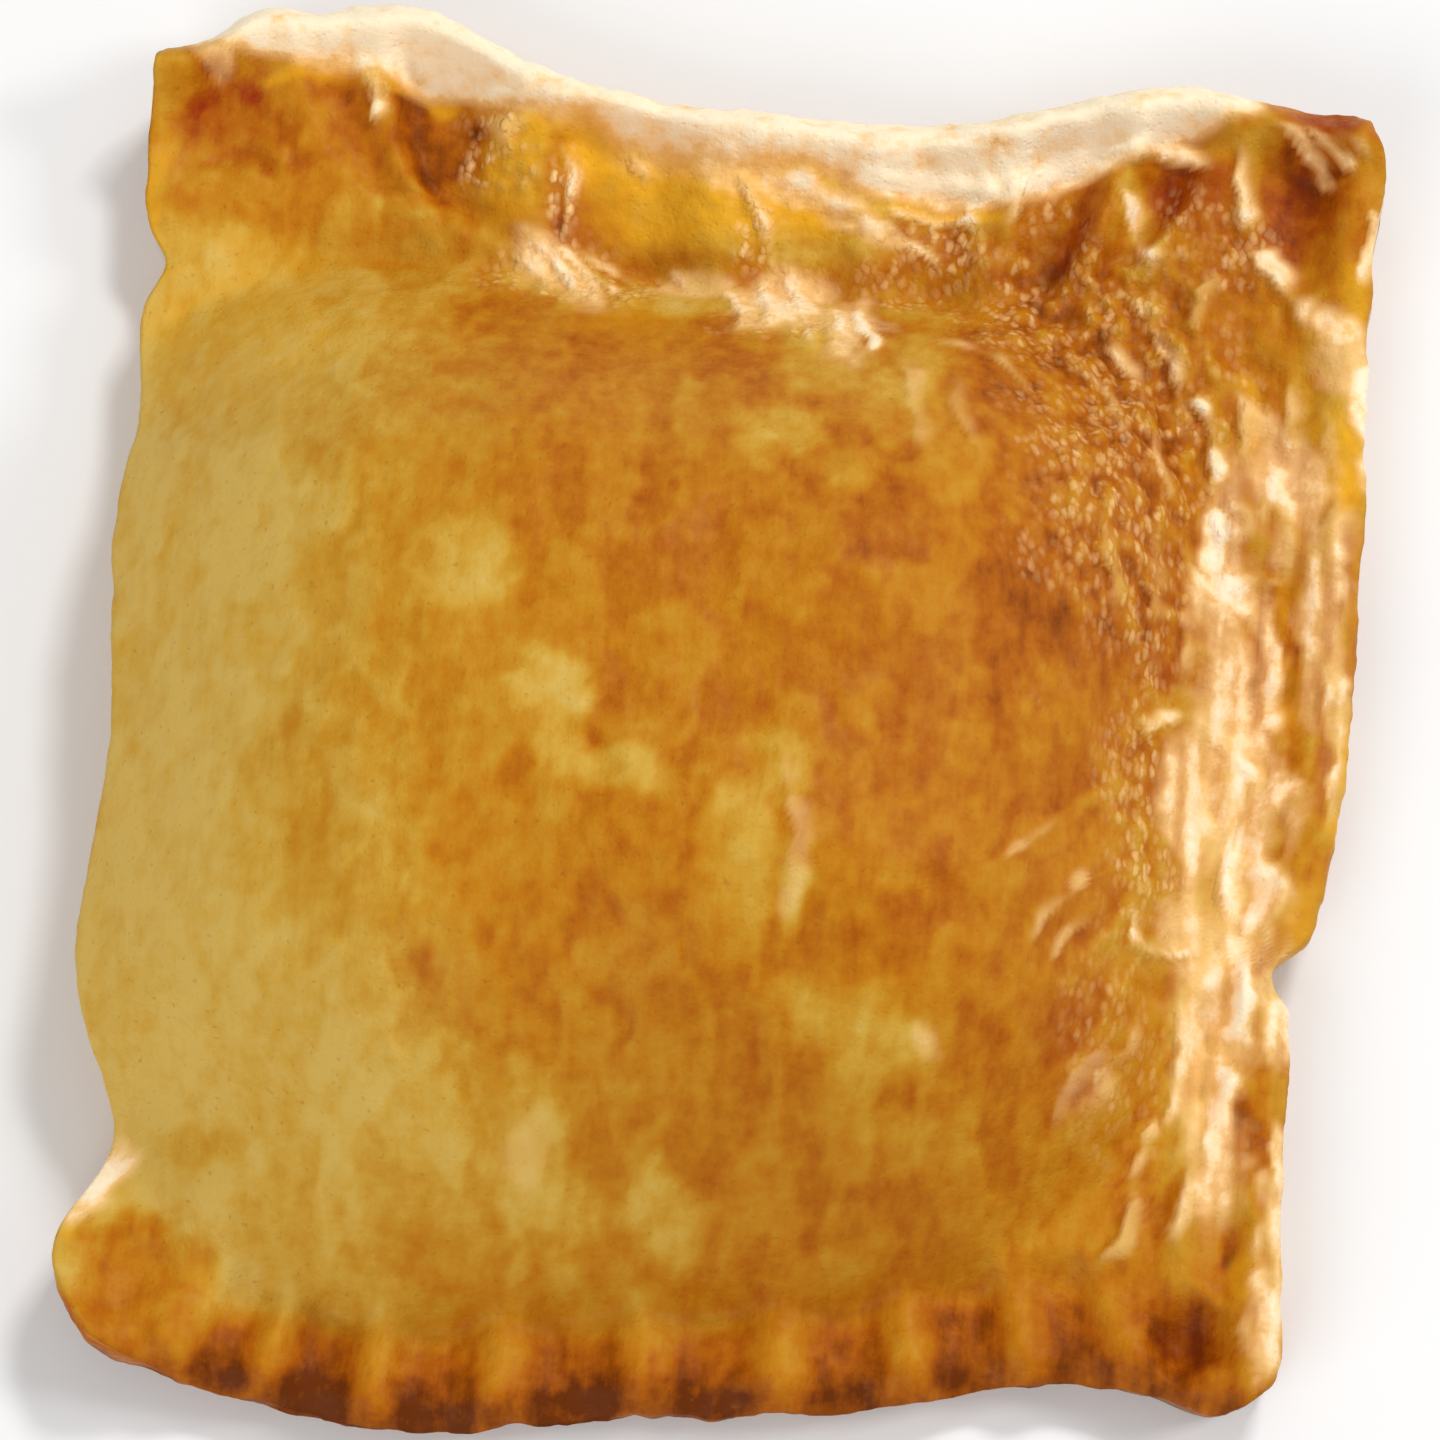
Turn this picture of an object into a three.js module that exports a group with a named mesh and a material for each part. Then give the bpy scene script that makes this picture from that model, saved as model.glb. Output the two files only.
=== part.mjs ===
// A mini steak pie. One sheet of puff pastry is folded over its filling, so the left side is a smooth
// rounded fold, and the back, right and front are pressed shut with the tines of a fork. The whole pie
// is one uncut piece, so it is one solid: a domed middle, a rim with pressed marks, cut edges that show
// the pastry's layers, and a flat base.
//
// Millimetres. +X points right, +Y to the back and +Z up. The origin is under the middle of the pie's
// box, on the surface that it stands on.

import * as THREE from "three";

// The pie's overall size, before the swells of its sides.
const HALF_WIDTH = 32.4;
const HALF_DEPTH = 35.6;
const HEIGHT = 21.8;

// The four sides. Each outline swells out or draws in at a few places: "at" is the place along the side,
// "out" how far it swells and "spread" how wide the swell is. "rim" is the width of the flat rim, and
// "tilt" how far the rim rises from the dome to its edge. "flank" is the width over which the dome climbs,
// and "follow" how closely the dome's foot keeps to the swells. The fold has no rim, so its dome starts a
// little outside the outline.
//
// "marks" are the presses of the fork: where each one's middle lies along the side, how deep each one is, and
// where they start and end, measured in from the edge. "lip" is the height of the rolled edge outside them.
const SIDES = {
  back: {
    rim: 10.4,
    tilt: 1.1,
    flank: 22,
    follow: 0.1,
    swells: [
      { at: -20, out: 3.5, spread: 7 },
      { at: -27, out: 1.5, spread: 2.5 },
      { at: 5.5, out: -1.5, spread: 14 },
      { at: 21.5, out: 2, spread: 8 },
    ],
    marks: {
      places: [-24, -18.5, -7, 2.5, 9.5, 16.5, 22.5],
      presses: [0.5, 1.5, 1.2, 0.7, 0.8, 1.4, 1.4],
      start: 2.9,
      end: 8.9,
      lip: 1.6,
    },
  },
  right: {
    rim: 6.4,
    tilt: 0.5,
    flank: 21,
    follow: 0.2,
    swells: [
      { at: 32, out: 0.5, spread: 2 },
      { at: 12, out: 0.5, spread: 14 },
      { at: -12, out: -1.5, spread: 1.5 },
      { at: -13.5, out: -1.2, spread: 8 },
      { at: -26.5, out: -1.8, spread: 12.5 },
    ],
    marks: {
      places: [-17.5, -5.5, 2.5, 8, 16.5, 21.5],
      presses: [0.5, 0.7, 0.8, 0.6, 0.8, 0.4],
      start: 1.8,
      end: 5.2,
      lip: 0.7,
    },
  },
  front: {
    rim: 5.2,
    tilt: -0.5,
    flank: 21,
    follow: 1,
    swells: [
      { at: -27, out: -0.5, spread: 1.5 },
      { at: -13.5, out: 1.8, spread: 8 },
      { at: 21, out: -3, spread: 11 },
      { at: 27.5, out: 0.5, spread: 2 },
    ],
    marks: {
      places: [-23.5, -18.3, -12.3, -5, 2.2, 9, 15.3, 21],
      presses: [0.9, 1.3, 1.4, 1.5, 1.2, 1.3, 1.2, 0.8],
      start: 0.9,
      end: 5,
      lip: 0.3,
    },
  },
  left: {
    rim: -3.2,
    tilt: 0,
    flank: 22,
    follow: 1,
    swells: [
      { at: 23.5, out: -1.3, spread: 2 },
      { at: 15.5, out: -0.8, spread: 4 },
      { at: -3, out: -1, spread: 8 },
      { at: -24, out: -3, spread: 5.5 },
      { at: -28.5, out: 1, spread: 3 },
    ],
  },
};
const CRIMPED_SIDES = ["back", "right", "front"];

// The sides in their order along the outline, anticlockwise from the front right corner, with the corners
// where each side's places are lowest and highest. Corner radii are shares of half the pie.
const OUTLINE = [
  { side: "right", low: "frontRight", high: "backRight", rising: true },
  { side: "back", low: "backLeft", high: "backRight", rising: false },
  { side: "left", low: "frontLeft", high: "backLeft", rising: false },
  { side: "front", low: "frontLeft", high: "frontRight", rising: true },
];
const CORNER_ROUNDING = { frontRight: 0.13, backRight: 0.06, backLeft: 0.04, frontLeft: 0.22 };

// A fork mark's floor and its soft walls end at a share of the way to the next mark, and its two ends ease
// out over a length.
const MARK_FLOOR = 0.1;
const MARK_WALL = 0.5;
const MARK_SLOPE = 2.2;

// The rim: its thickness, and how its rolled lip and rounded edge run.
const RIM_THICKNESS = 4.0;
const LIP_PLACE = 1.6;
const LIP_SPREAD = 1.3;
const EDGE_ROUNDING = 1.5;
const EDGE_DROP = 0.9;

// Hollows at the corners, where two runs of fork marks meet. Each one's floor and wall end at a share of
// its half width and half length, which wanders along its outline.
const CORNER_HOLLOWS = [
  { x: 28.9, y: 31.2, halfWidth: 2.6, halfLength: 4.6, press: 1.5 },
  { x: -28.5, y: 31.4, halfWidth: 3.6, halfLength: 3.2, press: 0.9 },
  { x: -28, y: -31, halfWidth: 2.4, halfLength: 3.4, press: 1.1 },
  { x: 26, y: -30, halfWidth: 2.5, halfLength: 2, press: 1.6 },
  { x: 28, y: -26, halfWidth: 1.5, halfLength: 2.4, press: 1.2 },
];
const HOLLOW_FLOOR = 0.1;
const HOLLOW_WALL = 1.4;
const HOLLOW_WANDER = { size: 1.7, share: 0.25 };

// The rim's corners curl up from the surface below.
const CORNER_CURLS = [
  { x: 33, y: 36, lift: 0.9 },
  { x: -33, y: 36, lift: 1.1 },
  { x: -31, y: -33, lift: 1.6 },
  { x: 31, y: -33, lift: 0.5 },
];
const CURL_REACH = 13;
const BASE_CURL_START = 0.7;

// The dome: how square its corners are in plan, how its flank curves, how much the crown swells above its
// shoulders, and the fillet and the groove at its foot.
const DOME_CORNER_POWER = 3;
const FLANK_CURVE = 2.3;
const CROWN_SWELL = 3.6;
const FOOT_FILLET = 0.1;
const FOOT_GROOVE = 0.4;
const FOOT_GROOVE_SPREAD = 1.1;

// A layer of pastry ends in a crest along the right shoulder, with wrinkled blisters beside it.
const FLAKE_CREST = { inset: 6.2, from: -25, to: 15, rise: 0.9, spread: 0.9, fade: 5 };
const CREST_WANDER = { length: 7, depth: 0.8 };
const BLISTERS = { inset: 13, spread: 6, from: -6, to: 30, fade: 6, rise: 0.55, across: 2.6, along: 6 };

// Broad lumps over the whole crust, with a share of them on the rim, and smaller dimples.
const LUMPS = { size: 11, rise: 0.7 };
const RIM_LUMPS = 0.3;
const DIMPLES = { size: 5, rise: 0.3 };
const SEED = { lumps: 1, dimples: 2, blisters: 5, layers: 8, crest: 11, hollows: 12 };

// The cut edge shows layers of pastry that stand out and draw in by turns, and the fold curves under. The
// fold's ends ease into the cut edges between two distances from the back, the front and the left.
const LAYER_DEPTH = 0.5;
const LAYER_LENGTH = 7;
const LAYER_COUNT = 5;
const CUT_EDGE_INSET = 0.7;
const FOLD_INSET = 4.2;
const FOLD_EASES = { back: [9, 13], front: [8, 14], left: [1, 6] };

// How finely the skin is divided. Each fork mark has its own stops along the outline. The rings are close
// together over the rim and wider apart over the dome.
const MARK_STOPS = [-0.35, -0.2, 0, 0.2, 0.35, 0.5];
const CORNER_STEP = 1.3;
const FOLD_STEPS = 34;
const RIM_RINGS = 10;
const RIM_REACH = 0.7;
const DOME_RINGS = 9;
const DOME_RING_CROWDING = 0.75;
const EDGE_RINGS = 4;
const BASE_REACHES = [0.93, 0.55, 0];
const STRAIGHTNESS = 0.6;
const MOST_STRAIGHT = 2.5;

const clamp01 = (value) => Math.min(1, Math.max(0, value));
const mix = (from, to, share) => from + (to - from) * share;
const bell = (distance, spread) => Math.exp(-((distance / spread) ** 2));
const evenly = (count, makeItem) => Array.from({ length: count }, (_, index) => makeItem(index));

// A smooth step from 0 at "from" to 1 at "to".
function ease(value, from, to) {
  const share = clamp01((value - from) / (to - from));
  return share * share * (3 - 2 * share);
}

// 1 between "from" and "to", easing to 0 outside them over "fade".
const between = (value, from, to, fade) => ease(value, from - fade, from) * (1 - ease(value, to, to + fade));

// A repeatable random number from 0 to 1 for a whole-number grid point.
function gridRandom(column, row, seed) {
  let bits = Math.imul(column, 374761393) ^ Math.imul(row, 668265263) ^ Math.imul(seed, 1442695041);
  bits = Math.imul(bits ^ (bits >>> 13), 1274126177);
  return ((bits ^ (bits >>> 16)) >>> 0) / 4294967296;
}

// Smooth noise from -1 to 1 with features about one unit across.
function noise(x, y, seed) {
  const column = Math.floor(x);
  const row = Math.floor(y);
  const across = ease(x - column, 0, 1);
  const along = ease(y - row, 0, 1);
  const near = mix(gridRandom(column, row, seed), gridRandom(column + 1, row, seed), across);
  const far = mix(gridRandom(column, row + 1, seed), gridRandom(column + 1, row + 1, seed), across);
  return 2 * mix(near, far, along) - 1;
}

const isUpright = (name) => name === "right" || name === "left";
const halfSpan = (name) => (isUpright(name) ? HALF_WIDTH : HALF_DEPTH);

// How far a side's outline swells out at a place along it.
function swell(name, along) {
  return SIDES[name].swells.reduce((sum, { at, out, spread }) => sum + out * bell(along - at, spread), 0);
}

// How far out of the middle a side's outline runs at a place along it.
const outlineAt = (name, along) => halfSpan(name) + swell(name, along);

// The place in plan of a point of the square from -1 to 1 that the pie is drawn on.
function planPoint({ u, v }) {
  const roughY = v * HALF_DEPTH;
  const x = mix(-outlineAt("left", roughY), outlineAt("right", roughY), (u + 1) / 2);
  return { x, y: mix(-outlineAt("front", x), outlineAt("back", x), (v + 1) / 2) };
}

// How far a place in plan lies inside one side, when that side keeps "follow" of its swells.
function insetFrom(name, { x, y }, follow = 1) {
  const along = isUpright(name) ? y : x;
  const out = { right: x, left: -x, back: y, front: -y }[name];
  return halfSpan(name) + follow * swell(name, along) - out;
}

// 0 on the rim and 1 on the crown, with rounded corners between two flanks.
function domeShare(place) {
  const fall = Object.entries(SIDES).reduce((sum, [name, { rim, flank, follow }]) => {
    const toClimb = clamp01((rim + flank - insetFrom(name, place, follow)) / flank);
    return sum + toClimb ** DOME_CORNER_POWER;
  }, 0);
  const climbed = 1 - Math.min(1, fall ** (1 / DOME_CORNER_POWER));
  const fillet = (climbed * (1 + FOOT_FILLET)) / (climbed + FOOT_FILLET);
  return (1 - (1 - climbed) ** FLANK_CURVE) * fillet;
}

// The place along a side of a fork mark. Whole numbers are the marks' middles.
function markPlace({ places }, index) {
  const before = Math.min(places.length - 2, Math.max(0, Math.floor(index)));
  return mix(places[before], places[before + 1], index - before);
}

// The opposite of markPlace: the number of the fork mark that a place along a side lies in.
function markIndex({ places }, along) {
  const passed = places.filter((place) => place <= along).length;
  const before = Math.min(places.length - 2, Math.max(0, passed - 1));
  return before + (along - places[before]) / (places[before + 1] - places[before]);
}

// How deep the fork pressed at a place along a side: 0 on the ridges between marks.
function pressAt(marks, along) {
  const index = markIndex(marks, along);
  const nearest = Math.min(marks.places.length - 1, Math.max(0, Math.round(index)));
  return marks.presses[nearest] * (1 - ease(Math.abs(index - nearest), MARK_FLOOR, MARK_WALL));
}

// How deep the crust is pressed at a place whose nearest side is "name". "along" is where the place's line
// to the edge meets that side.
function pressedDepth(place, name, along) {
  const { size, share } = HOLLOW_WANDER;
  const wander = share * noise(place.x / size, place.y / size, SEED.hollows);
  const hollow = CORNER_HOLLOWS.reduce((deepest, h) => {
    const away = Math.hypot((place.x - h.x) / h.halfWidth, (place.y - h.y) / h.halfLength) + wander;
    return Math.max(deepest, h.press * (1 - ease(away, HOLLOW_FLOOR, HOLLOW_WALL)));
  }, 0);
  const { marks } = SIDES[name];
  if (!marks) {
    return hollow;
  }
  const inMark = between(insetFrom(name, place), marks.start, marks.end, MARK_SLOPE);
  return Math.max(hollow, inMark * pressAt(marks, along));
}

// How far the unpressed rim stands above its plain thickness: it tilts, rolls into a lip and rounds off.
function rimRise(place) {
  let tilted = 0;
  let lip = 0;
  let drop = 0;
  for (const name of CRIMPED_SIDES) {
    const { rim, tilt, follow, marks } = SIDES[name];
    const inset = insetFrom(name, place);
    tilted += tilt * (1 - clamp01(inset / rim));
    lip = Math.max(lip, marks.lip * bell(inset - LIP_PLACE, LIP_SPREAD));
    drop = Math.max(drop, EDGE_DROP * (1 - clamp01(inset / EDGE_ROUNDING)) ** 2);
    drop = Math.max(drop, FOOT_GROOVE * bell(insetFrom(name, place, follow) - rim, FOOT_GROOVE_SPREAD));
  }
  return tilted + lip - drop;
}

// The crest and the wrinkled blisters on the right shoulder.
function shoulderRelief({ x, y }) {
  const inset = insetFrom("right", { x, y }, SIDES.right.follow);
  const wander = CREST_WANDER.depth * noise(y / CREST_WANDER.length, 0, SEED.crest);
  const crest = FLAKE_CREST.rise * between(y, FLAKE_CREST.from, FLAKE_CREST.to, FLAKE_CREST.fade) *
    bell(inset - FLAKE_CREST.inset - wander, FLAKE_CREST.spread);
  const patch = bell(inset - BLISTERS.inset, BLISTERS.spread) *
    between(y, BLISTERS.from, BLISTERS.to, BLISTERS.fade);
  return crest + BLISTERS.rise * patch * noise(x / BLISTERS.across, y / BLISTERS.along, SEED.blisters);
}

function cornerCurl({ x, y }) {
  return CORNER_CURLS.reduce((sum, corner) => {
    const near = 1 - clamp01(Math.hypot(x - corner.x, y - corner.y) / CURL_REACH);
    return sum + corner.lift * near * near;
  }, 0);
}

// The height of the crust's upper face.
function crustHeight(place, name, along) {
  const { x, y } = place;
  const dome = domeShare(place);
  const crown = CROWN_SWELL * dome * (1 - (x / HALF_WIDTH) ** 2) * (1 - (y / HALF_DEPTH) ** 2);
  const climb = (HEIGHT - RIM_THICKNESS - CROWN_SWELL) * dome;
  const lumps = LUMPS.rise * noise(x / LUMPS.size, y / LUMPS.size, SEED.lumps) * mix(RIM_LUMPS, 1, dome);
  const dimples = DIMPLES.rise * noise(x / DIMPLES.size, y / DIMPLES.size, SEED.dimples);
  return RIM_THICKNESS + climb + crown + lumps + dimples + rimRise(place) -
    pressedDepth(place, name, along) + shoulderRelief(place) + cornerCurl(place);
}

// The stops along one side, from -1 to 1. Crimped sides have stops at each mark's floor and walls.
function sideStops(name) {
  const { marks } = SIDES[name];
  if (!marks) {
    return evenly(FOLD_STEPS + 1, (step) => (2 * step) / FOLD_STEPS - 1);
  }
  const half = isUpright(name) ? HALF_DEPTH : HALF_WIDTH;
  const markStops = (mark) => MARK_STOPS.map((stop) => markPlace(marks, mark + stop) / half);
  const run = marks.places.flatMap((_, mark) => markStops(mark));
  const last = run[run.length - 1];
  const leading = Math.round(((run[0] + 1) * half) / CORNER_STEP);
  const trailing = Math.round(((1 - last) * half) / CORNER_STEP);
  return [
    ...evenly(leading, (step) => mix(-1, run[0], step / leading)),
    ...run,
    ...evenly(trailing, (step) => mix(last, 1, (step + 1) / trailing)),
  ];
}

// The whole outline as stops, each with its side, its place from -1 to 1 along the side, and the rounding
// of the nearer corner.
function outlineStops() {
  return OUTLINE.flatMap(({ side, low, high, rising }) => {
    const stops = rising ? sideStops(side) : sideStops(side).reverse();
    return stops.slice(0, -1).map((stop) => {
      return { side, stop, rounding: CORNER_ROUNDING[stop < 0 ? low : high] };
    });
  });
}

// The point of the drawing square for an outline stop, at "reach" of the way from the middle to the edge.
// Near the edge the lines between rings run straight in, so that each fork mark keeps its shape.
function squarePoint({ side, stop, rounding }, reach) {
  if (reach === 0) {
    return { u: 0, v: 0 };
  }
  const straight = Math.min(MOST_STRAIGHT, (STRAIGHTNESS * reach) / (1 - reach));
  const along = stop * (1 - (1 - reach) * Math.abs(stop) ** straight);
  const pastCorner = Math.max(0, Math.abs(along) / reach - 1 + rounding) / rounding;
  const turn = (pastCorner * Math.PI) / 4;
  const flat = Math.min(Math.abs(along) / reach, 1 - rounding);
  const sideways = Math.sign(along) * (flat + rounding * Math.sin(turn)) * reach;
  const outward = (1 - rounding + rounding * Math.cos(turn)) * reach;
  return {
    right: { u: outward, v: sideways },
    left: { u: -outward, v: sideways },
    back: { u: sideways, v: outward },
    front: { u: sideways, v: -outward },
  }[side];
}

function topPoint(stop, reach) {
  const place = planPoint(squarePoint(stop, reach));
  const edge = planPoint(squarePoint(stop, 1));
  const along = isUpright(stop.side) ? edge.y : edge.x;
  return new THREE.Vector3(place.x, place.y, crustHeight(place, stop.side, along));
}

// How much of a fold the edge is: 1 on the left side's bulge and 0 along the cut edges.
function foldShare(place) {
  const [back, front, left] = ["back", "front", "left"].map((name) => {
    return ease(insetFrom(name, place), ...FOLD_EASES[name]);
  });
  return back * front * (1 - left);
}

// A point of the edge, from the rim of the upper face (down = 0) to the rim of the base (down = 1).
function edgePoint(stop, down) {
  const rim = topPoint(stop, 1);
  const wave = noise((rim.x + rim.y) / LAYER_LENGTH, down * LAYER_COUNT, SEED.layers);
  const layer = LAYER_DEPTH * Math.sin(Math.PI * down) * wave;
  const inset = mix(CUT_EDGE_INSET * down + layer, FOLD_INSET * down * down, foldShare(rim));
  const scale = 1 - inset / Math.hypot(rim.x, rim.y);
  return new THREE.Vector3(rim.x * scale, rim.y * scale, mix(rim.z, cornerCurl(rim), down));
}

// A point of the base, which is flat but for its curled corners.
function basePoint(stop, reach) {
  const rim = edgePoint(stop, 1);
  return new THREE.Vector3(rim.x * reach, rim.y * reach, rim.z * ease(reach, BASE_CURL_START, 1));
}

// One function for each ring of the skin, from the crown over the edge to the middle of the base.
function ringMakers() {
  const domeReaches = evenly(DOME_RINGS, (ring) => RIM_REACH * (ring / DOME_RINGS) ** DOME_RING_CROWDING);
  const rimReaches = evenly(RIM_RINGS + 1, (ring) => mix(RIM_REACH, 1, ring / RIM_RINGS));
  const downs = evenly(EDGE_RINGS, (ring) => (ring + 1) / EDGE_RINGS);
  return [
    ...[...domeReaches, ...rimReaches].map((reach) => (stop) => topPoint(stop, reach)),
    ...downs.map((down) => (stop) => edgePoint(stop, down)),
    ...BASE_REACHES.map((reach) => (stop) => basePoint(stop, reach)),
  ];
}

// A sphere's grid gives the skin its faces, and each of its rings is moved to its place on the pie.
function makeSkin() {
  const stops = outlineStops();
  const makers = ringMakers();
  const geometry = new THREE.SphereGeometry(1, stops.length, makers.length - 1);
  const positions = geometry.getAttribute("position");
  makers.forEach((makePoint, ring) => {
    for (let step = 0; step <= stops.length; step += 1) {
      const point = makePoint(stops[step % stops.length]);
      positions.setXYZ(ring * (stops.length + 1) + step, point.x, point.y, point.z);
    }
  });
  geometry.computeVertexNormals();
  return geometry;
}

// Moves the geometry so that the middle of its box stands on the origin.
function standOnOrigin(geometry) {
  geometry.computeBoundingBox();
  const { min, max } = geometry.boundingBox;
  return geometry.translate(-(min.x + max.x) / 2, -(min.y + max.y) / 2, -min.z);
}

const bakedPastry = new THREE.MeshStandardMaterial({ color: 0xc98a2e, roughness: 0.45, metalness: 0 });

const pie = new THREE.Group();
const crust = new THREE.Mesh(standOnOrigin(makeSkin()), bakedPastry);
crust.name = "pastry_crust";
pie.add(crust);

export default pie;
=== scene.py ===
"""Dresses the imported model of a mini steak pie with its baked, glazed puff pastry crust.

The crust is one closed mesh. It has the solid's own form, from the same sizes, with the finer relief that
baking gives on top: blisters, streaks of flaky layers, wrinkles, and the layers of the cut edges. Sizes are
in millimetres until a mesh is made, and the plan's axes are those of the solid: +X right, +Y back, +Z up.
"""

from __future__ import annotations

import logging
import math
from dataclasses import dataclass, field
from enum import Enum
from typing import ClassVar

import bmesh
import bpy
import numpy as np
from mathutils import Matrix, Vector


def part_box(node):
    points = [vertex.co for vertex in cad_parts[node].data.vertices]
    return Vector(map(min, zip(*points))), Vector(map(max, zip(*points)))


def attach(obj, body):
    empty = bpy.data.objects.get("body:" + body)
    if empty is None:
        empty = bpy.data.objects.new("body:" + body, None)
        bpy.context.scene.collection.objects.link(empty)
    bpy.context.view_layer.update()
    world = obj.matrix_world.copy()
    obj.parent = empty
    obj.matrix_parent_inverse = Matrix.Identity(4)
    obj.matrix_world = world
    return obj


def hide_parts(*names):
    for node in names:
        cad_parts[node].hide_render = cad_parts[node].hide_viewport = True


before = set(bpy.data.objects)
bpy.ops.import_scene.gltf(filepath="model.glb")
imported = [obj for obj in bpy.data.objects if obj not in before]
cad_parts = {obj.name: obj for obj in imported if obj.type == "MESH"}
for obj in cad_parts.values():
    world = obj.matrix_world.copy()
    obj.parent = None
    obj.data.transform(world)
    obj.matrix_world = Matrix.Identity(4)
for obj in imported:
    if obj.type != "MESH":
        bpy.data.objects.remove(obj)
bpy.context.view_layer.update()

CRUST_NODE = "pastry_crust"
MM = 0.001
ROUNDING_STEPS = 40
NEAR_EDGE = 0.999
TINY = 1e-6
# The bake mask also holds painted shade at the front foot and in hollows; the cream mask holds painted
# highlights as well as pale dry flakes
MASKS = ("bake", "cream", "amber", "scorch", "grain", "layers")

HASH_FACTORS = (374761393, 668265263, 1442695041)
HASH_FINISH = 1274126177
HASH_SHIFTS = (13, 16)
HASH_SIZE = 2**32
OCTAVE_STEP = 2.03
OCTAVE_SHIFT = (7.3, -4.1)
PEBBLE_MARGIN = 0.15
PEBBLE_SIZES = (0.45, 0.85)
PEBBLE_RISES = (0.35, 1.0)
PEBBLE_ROUNDNESS = 1.6
STREAK_RISES = (0.35, 0.2)
STREAK_FINER = (2.1, 1.7)
STREAK_SHIFT = 3.3
FLAKE_LAYERS = 2.6
FLAKE_SLOPE = 0.3
FLAKE_EDGE = 0.72
NOISE_MIDDLE = 0.5
MIX_INPUTS = (0, 6, 7)
MIX_OUTPUT = 2

Array = np.ndarray
Pair = tuple[float, float]
Triple = tuple[float, float, float]
log = logging.getLogger("mini_pie")


def bell(distance: Array, spread: float) -> Array:
    """Gives a soft hump.

    Args:
        distance: distances from the hump's middle.
        spread: how wide the hump is.

    Returns:
        1 in the middle, falling to 0.
    """
    return np.exp(-((distance / spread) ** 2))


def ease(value: Array, start: float, end: float) -> Array:
    """Gives a smooth step.

    Args:
        value: numbers to step.
        start: where the step starts from 0.
        end: where it reaches 1.

    Returns:
        Numbers from 0 to 1.
    """
    share = np.clip((value - start) / (end - start), 0, 1)
    return share * share * (3 - 2 * share)


def between(value: Array, start: float, end: float, fade: float) -> Array:
    """Gives 1 between two numbers, easing to 0 outside them.

    Args:
        value: numbers to test.
        start: the lower number.
        end: the upper number.
        fade: how far the easing reaches.

    Returns:
        Numbers from 0 to 1.
    """
    return ease(value, start - fade, start) * (1 - ease(value, end, end + fade))


def mix(first: Array, second: Array, share: Array) -> Array:
    """Blends from first to second by share."""
    return first + (second - first) * share


def grid_random(column: Array, row: Array, seed: int) -> Array:
    """Gives repeatable random numbers for whole-number grid points.

    Args:
        column: the points' columns.
        row: the points' rows.
        seed: which set of numbers.

    Returns:
        Numbers from 0 to 1.
    """
    word = np.uint64(HASH_SIZE - 1)
    first_shift, last_shift = (np.uint64(shift) for shift in HASH_SHIFTS)
    by_column, by_row, by_seed = HASH_FACTORS

    def scramble(number: Array, factor: int) -> Array:
        """Multiplies 32-bit numbers and keeps 32 bits."""
        return (np.asarray(number, np.int64).astype(np.uint64) & word) * np.uint64(factor) & word

    bits = scramble(column, by_column) ^ scramble(row, by_row) ^ scramble(seed, by_seed)
    bits = (bits ^ (bits >> first_shift)) * np.uint64(HASH_FINISH) & word
    return (bits ^ (bits >> last_shift)).astype(float) / HASH_SIZE


def noise(x: Array, y: Array, seed: int) -> Array:
    """Gives smooth noise with features about one unit across.

    Args:
        x: places across.
        y: places along.
        seed: which noise.

    Returns:
        Numbers from -1 to 1.
    """
    x, y = np.broadcast_arrays(np.asarray(x, float), np.asarray(y, float))
    column = np.floor(x).astype(np.int64)
    row = np.floor(y).astype(np.int64)
    across = ease(x - column, 0, 1)
    along = ease(y - row, 0, 1)
    near = mix(grid_random(column, row, seed), grid_random(column + 1, row, seed), across)
    far = mix(grid_random(column, row + 1, seed), grid_random(column + 1, row + 1, seed), across)
    return 2 * mix(near, far, along) - 1


def layered_noise(x: Array, y: Array, seed: int, octaves: int = 3) -> Array:
    """Adds up ever finer noise.

    Args:
        x: places across.
        y: places along.
        seed: which noise.
        octaves: how many noises are added.

    Returns:
        Numbers from about -1 to 1.
    """
    total = np.zeros(np.broadcast(x, y).shape)
    weight = 0.0
    shift_x, shift_y = OCTAVE_SHIFT
    for octave in range(octaves):
        finer = OCTAVE_STEP**octave
        place = (x * finer + shift_x * octave, y * finer + shift_y * octave)
        total = total + noise(*place, seed + octave) / finer
        weight += 1 / finer
    return total / weight


def pebbles(x: Array, y: Array, seed: int) -> Array:
    """Gives rounded bumps of mixed sizes, close together, one to a grid cell.

    Args:
        x: places across, in bumps.
        y: places along, in bumps.
        seed: which bumps.

    Returns:
        Heights from 0 to 1.
    """
    column = np.floor(x).astype(np.int64)
    row = np.floor(y).astype(np.int64)
    near, far = PEBBLE_MARGIN, 1 - PEBBLE_MARGIN
    height = np.zeros(np.broadcast(x, y).shape)
    for step_across in (-1, 0, 1):
        for step_along in (-1, 0, 1):
            cell_x = column + step_across
            cell_y = row + step_along
            middle_x = cell_x + mix(near, far, grid_random(cell_x, cell_y, seed))
            middle_y = cell_y + mix(near, far, grid_random(cell_x, cell_y, seed + 1))
            size = mix(*PEBBLE_SIZES, grid_random(cell_x, cell_y, seed + 2))
            rise = mix(*PEBBLE_RISES, grid_random(cell_x, cell_y, seed + 3))
            away = np.hypot(x - middle_x, y - middle_y) / size
            height = np.maximum(height, rise * np.clip(1 - away * away, 0, 1) ** PEBBLE_ROUNDNESS)
    return height


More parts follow.
